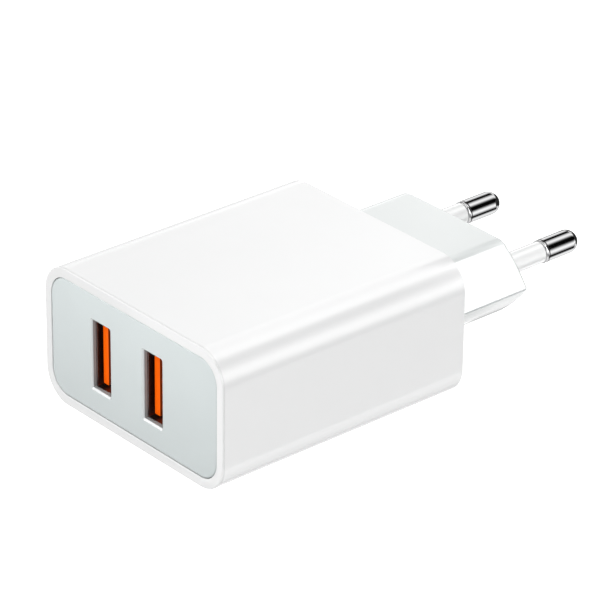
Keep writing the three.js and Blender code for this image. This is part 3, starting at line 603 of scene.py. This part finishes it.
def pin_metal():
    """Bright nickel plate with faint rings from turning."""
    finish = Finish("pin_metal", Metallic=1.0)
    finish.two_tones(finish.noise(1.2), *shades((0.52, 0.52, 0.525), 0.02))
    rings = finish.noise(0.09, stretch=(0.03, 1, 0.03))
    finish.roughness(finish.span(rings, 0.05, 0.08))
    finish.bump(rings, 0.0003)
    return finish.material


def groove_shade_paint():
    """The groove near the rear of a pin's head, painted near black as shade."""
    return moulded("groove_shade_paint", (0.02, 0.02, 0.022), rough=0.4, spread=0.1, grain=0.1,
                   relief=0.001).material


def board_laminate():
    """Green solder mask over copper tracks and glass weave."""
    finish = Finish("board_laminate", IOR=1.5)
    tracks = finish.add("ShaderNodeTexBrick", offset=0.37)
    for socket, value in (("Scale", 160.0), ("Mortar Size", 0.03), ("Mortar Smooth", 0.2)):
        tracks.inputs[socket].default_value = value
    tracks.inputs["Color1"].default_value = (0.018, 0.115, 0.045, 1.0)
    tracks.inputs["Color2"].default_value = (0.022, 0.14, 0.052, 1.0)
    tracks.inputs["Mortar"].default_value = (0.045, 0.23, 0.09, 1.0)
    finish.link(finish.place, tracks.inputs["Vector"])
    finish.colour(tracks.outputs["Color"])
    finish.roughness(finish.span(finish.noise(1.5), 0.3, 0.42))
    finish.bump(finish.stripes(0.5, "X"), 0.01, 0.3)
    finish.bump(finish.stripes(0.5, "Y"), 0.01, 0.3)
    return finish.material


def insulating_film():
    """Cream polyester film with a little haze and waviness."""
    finish = Finish("insulating_film", Transmission_Weight=0.15)
    finish.two_tones(finish.noise(5.0), (0.74, 0.7, 0.52), (0.82, 0.78, 0.62))
    finish.roughness(finish.span(finish.noise(2.0), 0.22, 0.34))
    finish.bump(finish.noise(3.0, detail=1.0), 0.05)
    return finish.material


def ferrite():
    """Sintered dark grey ferrite with a fine sparkle of grains."""
    finish = Finish("ferrite")
    grains = finish.cells(0.12)
    finish.colour(finish.ramp(grains, [(0.1, (0.025, 0.027, 0.03)), (0.8, (0.06, 0.062, 0.068))]))
    finish.roughness(finish.span(finish.noise(0.3), 0.45, 0.7))
    finish.bump(grains, 0.02)
    return finish.material


def bobbin_plastic():
    """Black plastic with an even grain."""
    return moulded("bobbin_plastic", (0.02, 0.02, 0.022), rough=0.45, spread=0.2, grain=0.1,
                   relief=0.006).material


def winding_tape():
    """Yellow polyester tape: the edges of its turns, and a slight wrinkle."""
    finish = Finish("winding_tape")
    turns = finish.stripes(2.0, "Y", distortion=0.6, profile="SAW")
    finish.colour(finish.ramp(turns, [(0.0, (0.62, 0.36, 0.02)), (0.12, (0.85, 0.55, 0.05)),
                                      (1.0, (0.78, 0.48, 0.035))]))
    finish.roughness(finish.span(finish.noise(1.0), 0.22, 0.36))
    finish.bump(turns, 0.05)
    finish.bump(finish.noise(1.4), 0.03)
    return finish.material


def can(name, colour):
    """A capacitor's shrunk sleeve, with faint creases up its side."""
    finish = Finish(name)
    finish.two_tones(finish.noise(1.8, stretch=(1, 1, 0.3)), *shades(colour, 0.15))
    finish.roughness(finish.span(finish.noise(0.8), 0.26, 0.4))
    finish.bump(finish.noise(1.2, stretch=(1, 1, 0.2)), 0.02)
    return finish.material


def epoxy(name, colour, rough):
    """Moulded epoxy with its dull, sandy surface."""
    finish = Finish(name)
    sand = finish.noise(0.07, detail=4.0)
    finish.two_tones(sand, *shades(colour, 0.18))
    finish.roughness(finish.span(sand, rough * 0.85, rough * 1.15))
    finish.bump(sand, 0.008)
    return finish.material


def ceramic(name, colour, rough):
    """Dipped or fired ceramic: rounded unevenness under a thin glaze."""
    finish = Finish(name, Coat_Weight=0.4, Coat_Roughness=0.2)
    finish.two_tones(finish.noise(1.6), *shades(colour, 0.1))
    finish.roughness(finish.span(finish.noise(0.5), rough * 0.85, rough * 1.15))
    finish.bump(finish.noise(0.8, detail=1.0), 0.03)
    return finish.material


def copper_wire():
    """Enamelled copper wire in close turns, with painted shade in the dark part of its stripes, between the
    turns.
    """
    finish = Finish("copper_wire", Metallic=0.85)
    turns = finish.stripes(0.35, "Z")
    finish.colour(finish.ramp(turns, [(0.0, (0.2, 0.06, 0.02)), (1.0, (0.72, 0.29, 0.12))]))
    finish.roughness(finish.span(finish.noise(0.4), 0.25, 0.4))
    finish.bump(turns, 0.12)
    return finish.material


def make_finishes():
    """One finish for each material slot of the record, and for each detail that has its own."""
    return {
        "case_plastic": case_plastic(),
        "panel_plastic": panel_plastic(),
        "pin_metal": pin_metal(),
        "sleeve_plastic": sleeve_plastic(),
        "strip_brass": drawn_metal("strip_brass", (0.75, 0.55, 0.22), rough=0.32),
        # The port steel's dark tone is partly its own and partly painted shade inside the ports.
        "port_steel": drawn_metal("port_steel", (0.27, 0.27, 0.27), rough=0.34, spread=0.04, relief=0.0002),
        "port_plastic": port_plastic(),
        "contact_gold": drawn_metal("contact_gold", (0.86, 0.6, 0.26), rough=0.2),
        "board_laminate": board_laminate(),
        "insulating_film": insulating_film(),
        "ferrite": ferrite(),
        "bobbin_plastic": bobbin_plastic(),
        "winding_tape": winding_tape(),
        "bulk_can": can("bulk_can", (0.02, 0.022, 0.028)),
        "output_can": can("output_can", (0.014, 0.1, 0.07)),
        "package_epoxy": epoxy("package_epoxy", (0.018, 0.018, 0.02), 0.6),
        "optocoupler_epoxy": epoxy("optocoupler_epoxy", (0.76, 0.74, 0.68), 0.5),
        "disc_ceramic": ceramic("disc_ceramic", (0.03, 0.15, 0.45), 0.35),
        "fuse_ceramic": ceramic("fuse_ceramic", (0.62, 0.48, 0.3), 0.4),
        "copper_wire": copper_wire(),
        "shaded_plug_plastic": shaded_plug_plastic(),
        "seam_shade_plastic": seam_shade_plastic(),
        "panel_bevel": polished_bevel(),
        "shaded_aperture_wall": shaded_aperture_wall(),
        "groove_shade_paint": groove_shade_paint(),
        "port_side_shade": port_side_shade(),
    }


# ---------------------------------------------------------------- case


def case_outline(inset):
    return rounded_rectangle(*moved_in(CASE_HALF, CASE_RADIUS, inset), CASE_CENTRE)


def recess_outline(inset):
    half = (CASE_HALF[0] - RIM_WIDTH, CASE_HALF[1] - RIM_HEIGHT)
    return rounded_rectangle(*moved_in(half, RECESS_RADIUS, inset), CASE_CENTRE)


def port_centre(side):
    place = middle(f"usb_shell_{side}")
    return place.x, PORT_Z


def shell_hole(side):
    low, high = corners(f"usb_shell_{side}")
    half = ((high.x - low.x) / 2 + SKIRT_GAP, high.z - PORT_Z + SKIRT_GAP)
    return rounded_rectangle(half, 2 * SKIRT_GAP, port_centre(side), EDGE_STEPS)


def peg_places():
    return [(x, CASE_CENTRE[1] + z) for x in (-PEG_X, PEG_X) for z in (-PEG_Z, PEG_Z)]


def make_main_housing(finishes):
    """The sleeve-like body, with its rim, parting line, recess, front wall, cavity and card guides."""
    skin = Skin()
    front, rear = CASE_LOW.y, CASE_HIGH.y
    recess_bottom = front + RECESS_DEPTH
    cavity_front = recess_bottom + FRONT_WALL
    seat_front = rear - SEAT_DEPTH
    rear_round = quarter_round(COVER_ROUND)

    front_edge = quarter_round(RIM_OUTER_ROUND) + square_groove(RIM_LINE_DEPTH, *RIM_LINE)
    outside = [skin.loop(case_outline(d), front + y) for d, y in front_edge]
    outside += [skin.loop(case_outline(d), rear - y) for d, y in reversed(rear_round)]
    skin.sleeve(outside)
    recess = [skin.loop(recess_outline(-d), front + y) for d, y in quarter_round(RIM_INNER_ROUND)]
    recess.append(skin.loop(recess_outline(0), recess_bottom))
    skin.sleeve(recess)
    skin.band(outside[0], recess[0])

    holes = [shell_hole(side) for side in SIDES]
    holes += [circle(PEG_RADIUS + SKIRT_GAP, place, PEG_STEPS) for place in peg_places()]
    front_holes = [skin.loop(hole, recess_bottom) for hole in holes]
    back_holes = [skin.loop(hole, cavity_front) for hole in holes]
    for pair in zip(front_holes, back_holes):
        skin.band(*pair)
    skin.flat(recess[-1], *front_holes)
    cavity = [skin.loop(case_outline(CASE_WALL), y) for y in (cavity_front, seat_front)]
    skin.band(*cavity)
    skin.flat(cavity[0], *back_holes)
    seat_inset = CASE_WALL - SEAT_STEP
    seat = [skin.loop(case_outline(seat_inset), seat_front)]
    seat += [skin.loop(case_outline(seat_inset - d), rear - y) for d, y in reversed(rear_round)]
    skin.sleeve([cavity[-1]] + seat + [outside[-1]])
    add_card_guides(skin, cavity_front)
    return skin.piece("case_shell", [finishes["case_plastic"]], MAIN_BODY, ["main_housing"])


def add_card_guides(skin, cavity_front):
    """Two ribs on each side wall, above and below the edge of the circuit board."""
    low, high = corners("main_board")
    wall_x = CASE_HALF[0] - CASE_WALL / 2
    for sign in (-1, 1):
        for inner_x, bottom in (
            (high.x - GUIDE_WIDTH, low.z - SKIRT_GAP - GUIDE_HEIGHT),
            (high.x - GUIDE_WIDTH / 2, high.z + SKIRT_GAP),
        ):
            x_range = sorted((sign * inner_x, sign * (wall_x - max(0.0, CASE_RADIUS - bottom) / 2)))
            z_range = (bottom, bottom + GUIDE_HEIGHT)
            y_range = (cavity_front - FRONT_WALL / 2, high.y)
            block_low, block_high = zip(x_range, y_range, z_range)
            skin.block(block_low, block_high, GUIDE_BEVEL)


def make_front_panel(finishes):
    """The inset face plate, with polished bevels round its two apertures and four stakes behind."""
    skin = Skin()
    front = PANEL_LOW.y
    back = front + PANEL_THICKNESS
    edge = [skin.loop(recess_outline(PANEL_GAP + d), front + y) for d, y in quarter_round(PANEL_ROUND)]
    edge.append(skin.loop(recess_outline(PANEL_GAP), back))
    skin.sleeve(edge)
    openings = [make_aperture(skin, side, front, back) for side in SIDES]
    pegs = [skin.loop(circle(PEG_RADIUS, place, PEG_STEPS), back) for place in peg_places()]
    for peg, place in zip(pegs, peg_places()):
        tip = skin.loop(circle(PEG_RADIUS, place, PEG_STEPS), PANEL_HIGH.y - PEG_TIP_BEVEL)
        end = skin.loop(circle(PEG_RADIUS - PEG_TIP_BEVEL, place, PEG_STEPS), PANEL_HIGH.y)
        skin.sleeve([peg, tip, end])
        skin.flat(end)
    skin.flat(edge[0], *[opening[0] for opening in openings])
    skin.flat(edge[-1], *[opening[-1] for opening in openings], *pegs)
    plastics = [finishes[name] for name in ("panel_plastic", "panel_bevel", "shaded_aperture_wall")]
    return skin.piece("face_plate", plastics, MAIN_BODY, ["front_panel"], PANEL_SHARP_ANGLE)


def make_aperture(skin, side, front, back):
    """A port's opening through the panel, with a polished bevel and its wall in painted shade. Returns its
    loops, front to back.
    """
    loops = []
    for outset, depth in (
        (APERTURE_CHAMFER + APERTURE_LIP, 0.0),
        (APERTURE_CHAMFER - APERTURE_LIP, APERTURE_LIP),
        (APERTURE_LIP, APERTURE_CHAMFER - APERTURE_LIP),
        (0.0, APERTURE_CHAMFER + APERTURE_LIP),
        (0.0, back - front),
    ):
        half, radius = moved_in(APERTURE_HALF, APERTURE_RADIUS, -outset)
        outline = rounded_rectangle(half, radius, port_centre(side), SMALL_CORNER_STEPS)
        loops.append(skin.loop(outline, front + depth))
    # The aperture's wall gets painted shade.
    bevel, wall = 1, 2
    skin.paint(bevel, lambda: skin.sleeve(loops[:-1]))
    skin.paint(wall, lambda: skin.sleeve(loops[-2:]))
    return loops


def make_rear_cover(finishes):
    """The end cap: a seated plate with its skirt, and the hollow six-sided plug."""
    skin = Skin()
    rear, end = CASE_HIGH.y, COVER_HIGH.y
    plate_front = rear - SEAT_DEPTH + SKIRT_GAP
    plate_inset = CASE_WALL - SEAT_STEP + COVER_GAP
    skirt_inset = CASE_WALL + SKIRT_GAP
    inner_end = end - PLUG_END_WALL

    plate = [skin.loop(case_outline(plate_inset), plate_front)]
    plate += [skin.loop(case_outline(plate_inset + d), rear - y)
              for d, y in reversed(quarter_round(COVER_ROUND))]
    skin.sleeve(plate)
    base = [skin.loop(plug_outline(-d), rear + y)
            for y, d in reversed(quarter_round(PLUG_BASE_ROUND))]
    tip = [skin.loop(plug_outline(d), end - y) for d, y in reversed(quarter_round(PLUG_END_ROUND))]
    skin.sleeve(base + tip)
    skin.flat(plate[-1], base[0])

    holes = [add_pin_hole(skin, x, end, inner_end) for x in (-PIN_X, PIN_X)]
    skin.flat(tip[-1], *[hole[0] for hole in holes])
    hollow = [skin.loop(plug_outline(PLUG_WALL), y) for y in (plate_front, inner_end)]
    skin.band(*hollow)
    skin.flat(hollow[-1], *[hole[-1] for hole in holes])

    skirt = [skin.loop(case_outline(skirt_inset), y) for y in (plate_front, COVER_LOW.y)]
    lining = [skin.loop(case_outline(skirt_inset + SKIRT_WALL), y) for y in (COVER_LOW.y, plate_front)]
    skin.sleeve(skirt + lining)
    skin.flat(plate[0], skirt[0])
    skin.flat(lining[-1], hollow[0])
    # The seams of the plug get painted shade.
    seam = 1
    skin.paint_where(seam, lambda at: rear < at.y < end and abs(at.z - PLUG_CENTRE[1]) < PLUG_SEAM)
    plastics = [finishes["shaded_plug_plastic"], finishes["seam_shade_plastic"]]
    return skin.piece("plug_cover", plastics, MAIN_BODY, ["rear_cover"])


def add_pin_hole(skin, x, end, inner_end):
    """A pin's hole through the end of the plug. Returns its loops, from the outside in."""
    centre = (x, PLUG_CENTRE[1])
    hole = [skin.loop(circle(PIN_HOLE + d, centre, PIN_HOLE_STEPS), end - y)
            for d, y in quarter_round(PIN_HOLE_ROUND, PIN_HOLE_EDGE_STEPS)]
    hole.append(skin.loop(circle(PIN_HOLE, centre, PIN_HOLE_STEPS), inner_end))
    skin.sleeve(hole)
    return hole


# ---------------------------------------------------------------- pins


def make_pin(side, finishes):
    """One plug pin: stub, collar, thin core, and the bright head with its ring, groove and domed end."""
    low, high = corners(f"pin_{side}")
    centre = ((low.x + high.x) / 2, PLUG_CENTRE[1])
    end = high.y
    head = end - PIN_HEAD
    collar_end = COVER_HIGH.y - PLUG_END_WALL - SKIRT_GAP
    collar_start = collar_end - PIN_COLLAR_WIDTH
    dome_centre = end - PIN_RADIUS
    stub = [(0, low.y), (PIN_STUB - PIN_STUB_BEVEL, low.y), (PIN_STUB, low.y + PIN_STUB_BEVEL),
            (PIN_STUB, collar_start)]
    collar_edge = PIN_COLLAR - PIN_COLLAR_BEVEL
    collar = [(collar_edge, collar_start), (PIN_COLLAR, collar_start + PIN_COLLAR_BEVEL),
              (PIN_COLLAR, collar_end - PIN_COLLAR_BEVEL), (collar_edge, collar_end)]
    core = [(PIN_CORE, collar_end), (PIN_CORE, head)]
    groove_start, groove_end = head + PIN_RING, head + PIN_RING + PIN_GROOVE_WIDTH
    ring = [(inset, head + y) for inset, y in quarter_round(PIN_REAR_ROUND, PIN_REAR_STEPS)]
    ring += square_groove(PIN_GROOVE_DEPTH, groove_start, groove_end)
    barrel = [(PIN_RADIUS - inset, y) for inset, y in ring]
    dome_turns = [math.radians(90) * step / PIN_DOME_STEPS for step in range(PIN_DOME_STEPS)]
    dome = [(PIN_RADIUS * math.cos(t), dome_centre + PIN_RADIUS * math.sin(t)) for t in dome_turns]
    skin = Skin()
    skin.turned(stub + collar + core + barrel + dome + [(0, end)], centre)
    # The groove gets near-black painted shade.
    groove = 1
    skin.paint_where(groove, lambda at: groove_start <= at.y <= groove_end)
    coats = [finishes["pin_metal"], finishes["groove_shade_paint"]]
    return skin.piece(f"plug_pin_{side}", coats, MAIN_BODY, [f"pin_{side}"], PIN_SHARP_ANGLE)


def make_sleeve(side, finishes):
    """The insulating sleeve on the thin part of a pin."""
    low, high = corners(f"pin_sleeve_{side}")
    centre = ((low.x + high.x) / 2, PLUG_CENTRE[1])
    end = corners(f"pin_{side}")[1].y - PIN_HEAD - SLEEVE_END_GAP
    edge = quarter_round(SLEEVE_ROUND, THIN_EDGE_STEPS)
    outer = [(SLEEVE_RADIUS - inset, end - depth) for inset, depth in edge]
    skin = Skin()
    profile = [(SLEEVE_BORE, low.y), (SLEEVE_RADIUS, low.y)] + outer[::-1] + [(SLEEVE_BORE, end)]
    rings = [skin.loop(circle(radius, centre), y) for radius, y in profile]
    skin.sleeve(rings + rings[:1])
    plastic = [finishes["sleeve_plastic"]]
    return skin.piece(f"pin_guard_{side}", plastic, MAIN_BODY, [f"pin_sleeve_{side}"])


# ---------------------------------------------------------------- port shells


def make_port_shell(side, finishes):
    """The folded steel shell of a receptacle, with its rounded lips and four legs."""
    low, high = corners(f"usb_shell_{side}")
    x, z = port_centre(side)
    half = ((high.x - low.x) / 2, high.z - z)
    front, rear = low.y, high.y
    lip = SHEET_METAL / 2
    lips = quarter_round(lip, THIN_EDGE_STEPS)
    skin = Skin()
    rings = [(d, front + y) for d, y in lips[::-1]] + [(SHEET_METAL - d, front + y) for d, y in lips[1:]]
    rings += [(SHEET_METAL, rear), (0.0, rear)]
    loops = []
    for inset, y in rings:
        outline_half, radius = moved_in(half, SHELL_RADIUS, inset)
        outline = rounded_rectangle(outline_half, radius, (x, z), SMALL_CORNER_STEPS)
        loops.append(skin.loop(outline, y))
    skin.sleeve(loops + loops[:1])
    leg_x = half[0] - lip
    for sign in (-1, 1):
        for leg_y in SHELL_LEGS:
            place = Vector((x + sign * leg_x, CASE_LOW.y + leg_y, 0))
            reach = Vector((lip, SHELL_LEG_HALF, 0))
            leg_low, leg_high = place - reach, place + reach
            leg_low.z, leg_high.z = low.z, z - half[1] + SHELL_LEG_OVERLAP
            skin.block(leg_low, leg_high, SHELL_LEG_BEVEL)
    steel = [finishes["port_steel"]]
    return skin.piece(f"port_shell_{side}", steel, MAIN_BODY, [f"usb_shell_{side}"])


# ---------------------------------------------------------------- CAD pieces that stay

BEVELS = {  # widths in millimetres, by material slot
    "contact_gold": 0.03,
    "port_steel": 0.07,
    "port_plastic": 0.07,
    "strip_brass": 0.05,
    "package_epoxy": 0.06,
    "optocoupler_epoxy": 0.08,
    "ferrite": 0.12,
    "bobbin_plastic": 0.1,
    "board_laminate": 0.06,
    "insulating_film": 0.04,
}


def refine(made, slot):
    """Merges a CAD node's facets, and rounds its edges a little."""
    weld = made.modifiers.new("Weld", "WELD")
    weld.merge_threshold = WELD_DISTANCE * MM
    if slot in BEVELS:
        facets = made.modifiers.new("Facets", "DECIMATE")
        facets.decimate_type = "DISSOLVE"
        facets.angle_limit = math.radians(FLAT_ANGLE)
        bevel = made.modifiers.new("Edges", "BEVEL")
        bevel.width = BEVELS[slot] * MM
        bevel.segments = BEVEL_SEGMENTS
        bevel.angle_limit = math.radians(SHARP_ANGLE)
        bevel.use_clamp_overlap = True
    weigh_normals(made, CAD_SHARP_ANGLE)


def slots_by_node():
    """The record's material slot of each CAD node."""
    return {part["node"]: part["material_slot"] for part in frame["record"]["subparts"]}


def dress_cad_nodes(finishes):
    """Gives every CAD node its finish, and softens the edges of those that stay visible."""
    for node, slot in slots_by_node().items():
        made = frame["nodes"][node]
        made.data.materials.clear()
        made.data.materials.append(finishes[slot])
        # The sides of the insulators get painted shade.
        if slot == "port_plastic":
            paint_side_shade(made, finishes["port_side_shade"])
        if not made.hide_render:
            refine(made, slot)


def paint_side_shade(made, finish):
    """Gives the faces of an insulator that look sideways a duller, darker finish that is painted shade."""
    made.data.materials.append(finish)
    side = 1
    for face in made.data.polygons:
        if abs(face.normal.x) > SIDEWAYS:
            face.material_index = side


# ---------------------------------------------------------------- studio

# Bands: degrees from straight up, towards +X, round a line along Y, and how bright it is there.
ROOM_BANDS = [
    (-180, 0.9), (-165, 0.7), (-135, 1.4), (-105, 0.75), (-90, 0.8), (-75, 1.2), (-60, 0.95), (-45, 1.3),
    (-15, 1.1), (0, 1.65), (15, 1.65), (30, 0.1), (45, 0.0), (60, 0.9), (75, 2.1), (90, 1.8), (105, 0.45),
    (120, 0.4), (135, 1.5), (165, 1.1), (180, 0.9),
]
PIN_BANDS = [  # for the striped card that the barrels of the pins reflect
    (-180, 1.25), (-149, 1.1), (-140, 0.25), (-94, 0.25), (-85, 1.2), (-67, 1.5), (-55, 1.2), (-43, 0.05),
    (-37, 0.0), (-25, 0.0), (-19, 0.25), (-7, 1.2), (5, 1.8), (17, 1.3), (29, 0.2), (38, 0.0), (67, 0.0),
    (77, 0.4), (89, 1.5), (101, 1.9), (113, 1.3), (125, 0.3), (132, 0.0), (142, 0.0), (149, 0.3),
    (161, 1.4), (173, 1.6), (180, 1.25),
]
TIP_BANDS = [band for band in PIN_BANDS if -10 < band[0] < 115]  # further on, for the tips of the pins
PLUG_BANDS = [(-8, 0.0), (23, 0.0), (29, 5.5), (80, 5.5)]  # for the plug's slanted side
EDGE_BANDS = [(-70, 0.1), (-20, 0.1)]  # for a dark card that draws the front edge
FRONT_BANDS = [(-64, 2.6), (-34, 2.6)]  # for a bright card that bevels facing the front and up reflect
TOP_BANDS = [  # for the card that the top face reflects
    (-80, 1.2), (-70, 1.5), (-65, 1.4), (-58, 0.97), (-45, 1.3), (-38, 1.25),
]
TOP_FADE = (0.76, 1.02)  # its brightness at its front and at its rear
LOW_BANDS = [(-165, 1.0), (-85, 1.0)]  # for the card that the left and the bottom of the rim reflect
HIGH_BANDS = [(-165, 1.6), (-85, 1.6)]  # for the card that the top and the right of the rim reflect

# Where each card starts and ends along Y, and the sizes of the cards, in millimetres.
PIN_REACH = (180, 262)
TIP_REACH = (258, 480)
PLUG_REACH = (41.5, 64)
EDGE_REACH = (-60, 60)
FRONT_REACH = (-210, -100)
TOP_REACH = (75, 165)
LOW_REACH = (-84, -50)
HIGH_REACH = (-130, -86)
CARD_RADIUS = 200
PLUG_CARD_RADIUS = 60
RIM_CARD_RADIUS = 60
CARD_STEPS = 72
CARD_BEND = 0.035  # how much nearer the front of a card is at its sides, as a share of its radius

FLAG_Y = 66
FLAG_RADIUS = 13
FLAG_TONE = 0.02
PANEL_LIGHT_PLACE = (2, -80, 46)
PANEL_LIGHT_SIZE = (90, 20)
PANEL_LIGHT_POWER = 0.0155  # watts
FLOOR_SIZE = 8.0  # metres
FLOOR_TONE = 0.5
FLOOR_GLOW = 0.85  # what the camera sees
FLOOR_FILL = 0.2  # what lights the charger
CAMERA_AZIMUTH = 48.9  # degrees
CAMERA_ELEVATION = 27.5
CAMERA_ROLL = 0.73
CAMERA_DISTANCE = 0.5819  # metres
CAMERA_TARGET = (0.01139, -0.01834, 0.02148)  # metres
CAMERA_NEAREST = 0.01  # metres
CAMERA_LENS = 222.6  # millimetres


def make_room():
    """A soft white room: long light panels and dark flags that run along Y. The camera sees plain white."""
    world = bpy.data.worlds.new("Studio")
    bpy.context.scene.world = world
    world.use_nodes = True
    room = Nodes(world.node_tree)
    place = room.add("ShaderNodeTexCoord").outputs["Generated"]
    bands, peak = room.bands_round_y(place, ROOM_BANDS)
    light = room.tree.nodes["Background"]
    light.inputs["Strength"].default_value = peak
    room.link(bands, light.inputs["Color"])
    plain = room.add("ShaderNodeBackground")
    plain.inputs["Color"].default_value = (1.0, 1.0, 1.0, 1.0)
    path = room.add("ShaderNodeLightPath")
    mix = room.add("ShaderNodeMixShader")
    room.link(path.outputs["Is Camera Ray"], mix.inputs["Fac"])
    room.link(light.outputs["Background"], mix.inputs[1])
    room.link(plain.outputs["Background"], mix.inputs[2])
    room.link(mix.outputs["Shader"], room.tree.nodes["World Output"].inputs["Surface"])


def make_panel_light(panel):
    """A long, soft light above the front, for the face plate alone, which fades down it."""
    data = bpy.data.lights.new("panel_light", "AREA")
    data.shape = "RECTANGLE"
    data.size, data.size_y = (length * MM for length in PANEL_LIGHT_SIZE)
    data.energy = PANEL_LIGHT_POWER
    light = add_object("panel_light", data)
    place = Vector(PANEL_LIGHT_PLACE)
    light.location = place * MM
    light.rotation_euler = (middle("front_panel") - place).to_track_quat("-Z", "Y").to_euler()
    light.visible_camera = False
    lit = bpy.data.collections.new("lit_by_panel_light")
    lit.objects.link(panel)
    light.light_linking.receiver_collection = lit


def make_card(name, bands, reach, radius=CARD_RADIUS, fade=(1.0, 1.0)):
    """A curved, striped card round the axis of the plug. Its brightness may change along Y."""
    first, last = math.radians(bands[0][0]), math.radians(bands[-1][0])
    turns = [first + (last - first) * step / CARD_STEPS for step in range(CARD_STEPS + 1)]
    points = []
    for turn in turns:
        x, z = radius * math.sin(turn), radius * math.cos(turn)
        front = reach[0] - CARD_BEND * radius * abs(math.sin(turn))
        points += [(x * MM, front * MM, z * MM), (x * MM, reach[1] * MM, z * MM)]
    faces = [(2 * i, 2 * i + 2, 2 * i + 3, 2 * i + 1) for i in range(CARD_STEPS)]
    data = bpy.data.meshes.new(name)
    data.from_pydata(points, [], faces)
    finish = Finish(f"{name}_stripes", Base_Color=(0.0, 0.0, 0.0, 1.0), Specular_IOR_Level=0.0)
    stripes, peak = finish.bands_round_y(finish.place, bands)
    finish.link(stripes, finish.shader.inputs["Emission Color"])
    levels = [peak * share for share in fade]
    y = finish.split(finish.place)["Y"]
    strength = finish.span(y, *levels, source=[end * MM for end in reach])
    finish.link(strength, finish.shader.inputs["Emission Strength"])
    show_in_reflections(data, finish)


def make_tip_flags():
    """Two dark discs beyond the pins, which their tips reflect."""
    points = []
    faces = []
    for x in (-PIN_X, PIN_X):
        rim = circle(FLAG_RADIUS, (x, 0))
        faces.append(tuple(range(len(points), len(points) + len(rim))))
        points += [(flag_x * MM, FLAG_Y * MM, flag_z * MM) for flag_x, flag_z in rim]
    data = bpy.data.meshes.new("tip_flags")
    data.from_pydata(points, [], faces)
    show_in_reflections(data, moulded("tip_flag_paint", (FLAG_TONE,) * 3, rough=0.9))


def show_in_reflections(data, finish):
    """Puts a mesh round the axis of the plug, where only reflections show it."""
    data.materials.append(finish.material)
    card = add_object(data.name, data)
    card.location = (0, 0, PLUG_CENTRE[1] * MM)
    card.visible_camera = card.visible_diffuse = card.visible_shadow = False
    card.visible_transmission = card.visible_volume_scatter = False


def floor_paint():
    """Pale paint that the camera sees as plain white."""
    finish = moulded("floor_paint", (FLOOR_TONE,) * 3, rough=0.8, spread=0.002, grain=4.0, relief=0.001)
    finish.shader.inputs["Specular IOR Level"].default_value = 0.1
    finish.shader.inputs["Emission Color"].default_value = (1.0, 1.0, 1.0, 1.0)
    path = finish.add("ShaderNodeLightPath")
    glow = finish.span(path.outputs["Is Camera Ray"], FLOOR_FILL, FLOOR_GLOW, (0.0, 1.0))
    finish.link(glow, finish.shader.inputs["Emission Strength"])
    return finish.material


def make_floor():
    """A plain pale floor at the charger's lowest point."""
    half = FLOOR_SIZE / 2
    low = CAD_BOX[0][2]
    data = bpy.data.meshes.new("floor")
    rim = [(-half, -half, low), (half, -half, low), (half, half, low), (-half, half, low)]
    data.from_pydata(rim, [], [(0, 1, 2, 3)])
    data.materials.append(floor_paint())
    floor = add_object("floor", data)
    floor.visible_glossy = False


def make_camera():
    """A long lens, a little above the charger and off its front right corner."""
    azimuth, elevation = math.radians(CAMERA_AZIMUTH), math.radians(CAMERA_ELEVATION)
    back = Vector((math.sin(azimuth) * math.cos(elevation), -math.cos(azimuth) * math.cos(elevation),
                   math.sin(elevation)))
    level = Vector((0, 0, 1)).cross(back).normalized()
    turn = Matrix.Rotation(math.radians(CAMERA_ROLL), 3, back)
    right = turn @ level
    up = turn @ back.cross(level)
    data = bpy.data.cameras.new("Camera")
    data.lens = CAMERA_LENS
    data.clip_start = CAMERA_NEAREST
    camera = add_object("Camera", data)
    rotation = Matrix((right, up, back)).transposed().to_4x4()
    camera.matrix_world = Matrix.Translation(Vector(CAMERA_TARGET) + back * CAMERA_DISTANCE) @ rotation
    bpy.context.scene.camera = camera


def set_colours():
    """Plain display colours, so that white stays white."""
    scene = bpy.context.scene
    scene.view_settings.view_transform = "Standard"
    scene.cycles.use_denoising = True


# ---------------------------------------------------------------- the scene

make_camera()
make_room()
make_card("pin_card", PIN_BANDS, PIN_REACH)
make_card("tip_card", TIP_BANDS, TIP_REACH)
make_tip_flags()
make_card("plug_card", PLUG_BANDS, PLUG_REACH, PLUG_CARD_RADIUS)
make_card("edge_card", EDGE_BANDS, EDGE_REACH)
make_card("front_card", FRONT_BANDS, FRONT_REACH)
make_card("top_card", TOP_BANDS, TOP_REACH, fade=TOP_FADE)
make_card("low_card", LOW_BANDS, LOW_REACH, RIM_CARD_RADIUS)
make_card("high_card", HIGH_BANDS, HIGH_REACH, RIM_CARD_RADIUS)
make_floor()
set_colours()
all_finishes = make_finishes()
make_main_housing(all_finishes)
make_panel_light(make_front_panel(all_finishes))
make_rear_cover(all_finishes)
for each_side in SIDES:
    make_pin(each_side, all_finishes)
    make_sleeve(each_side, all_finishes)
    make_port_shell(each_side, all_finishes)
dress_cad_nodes(all_finishes)
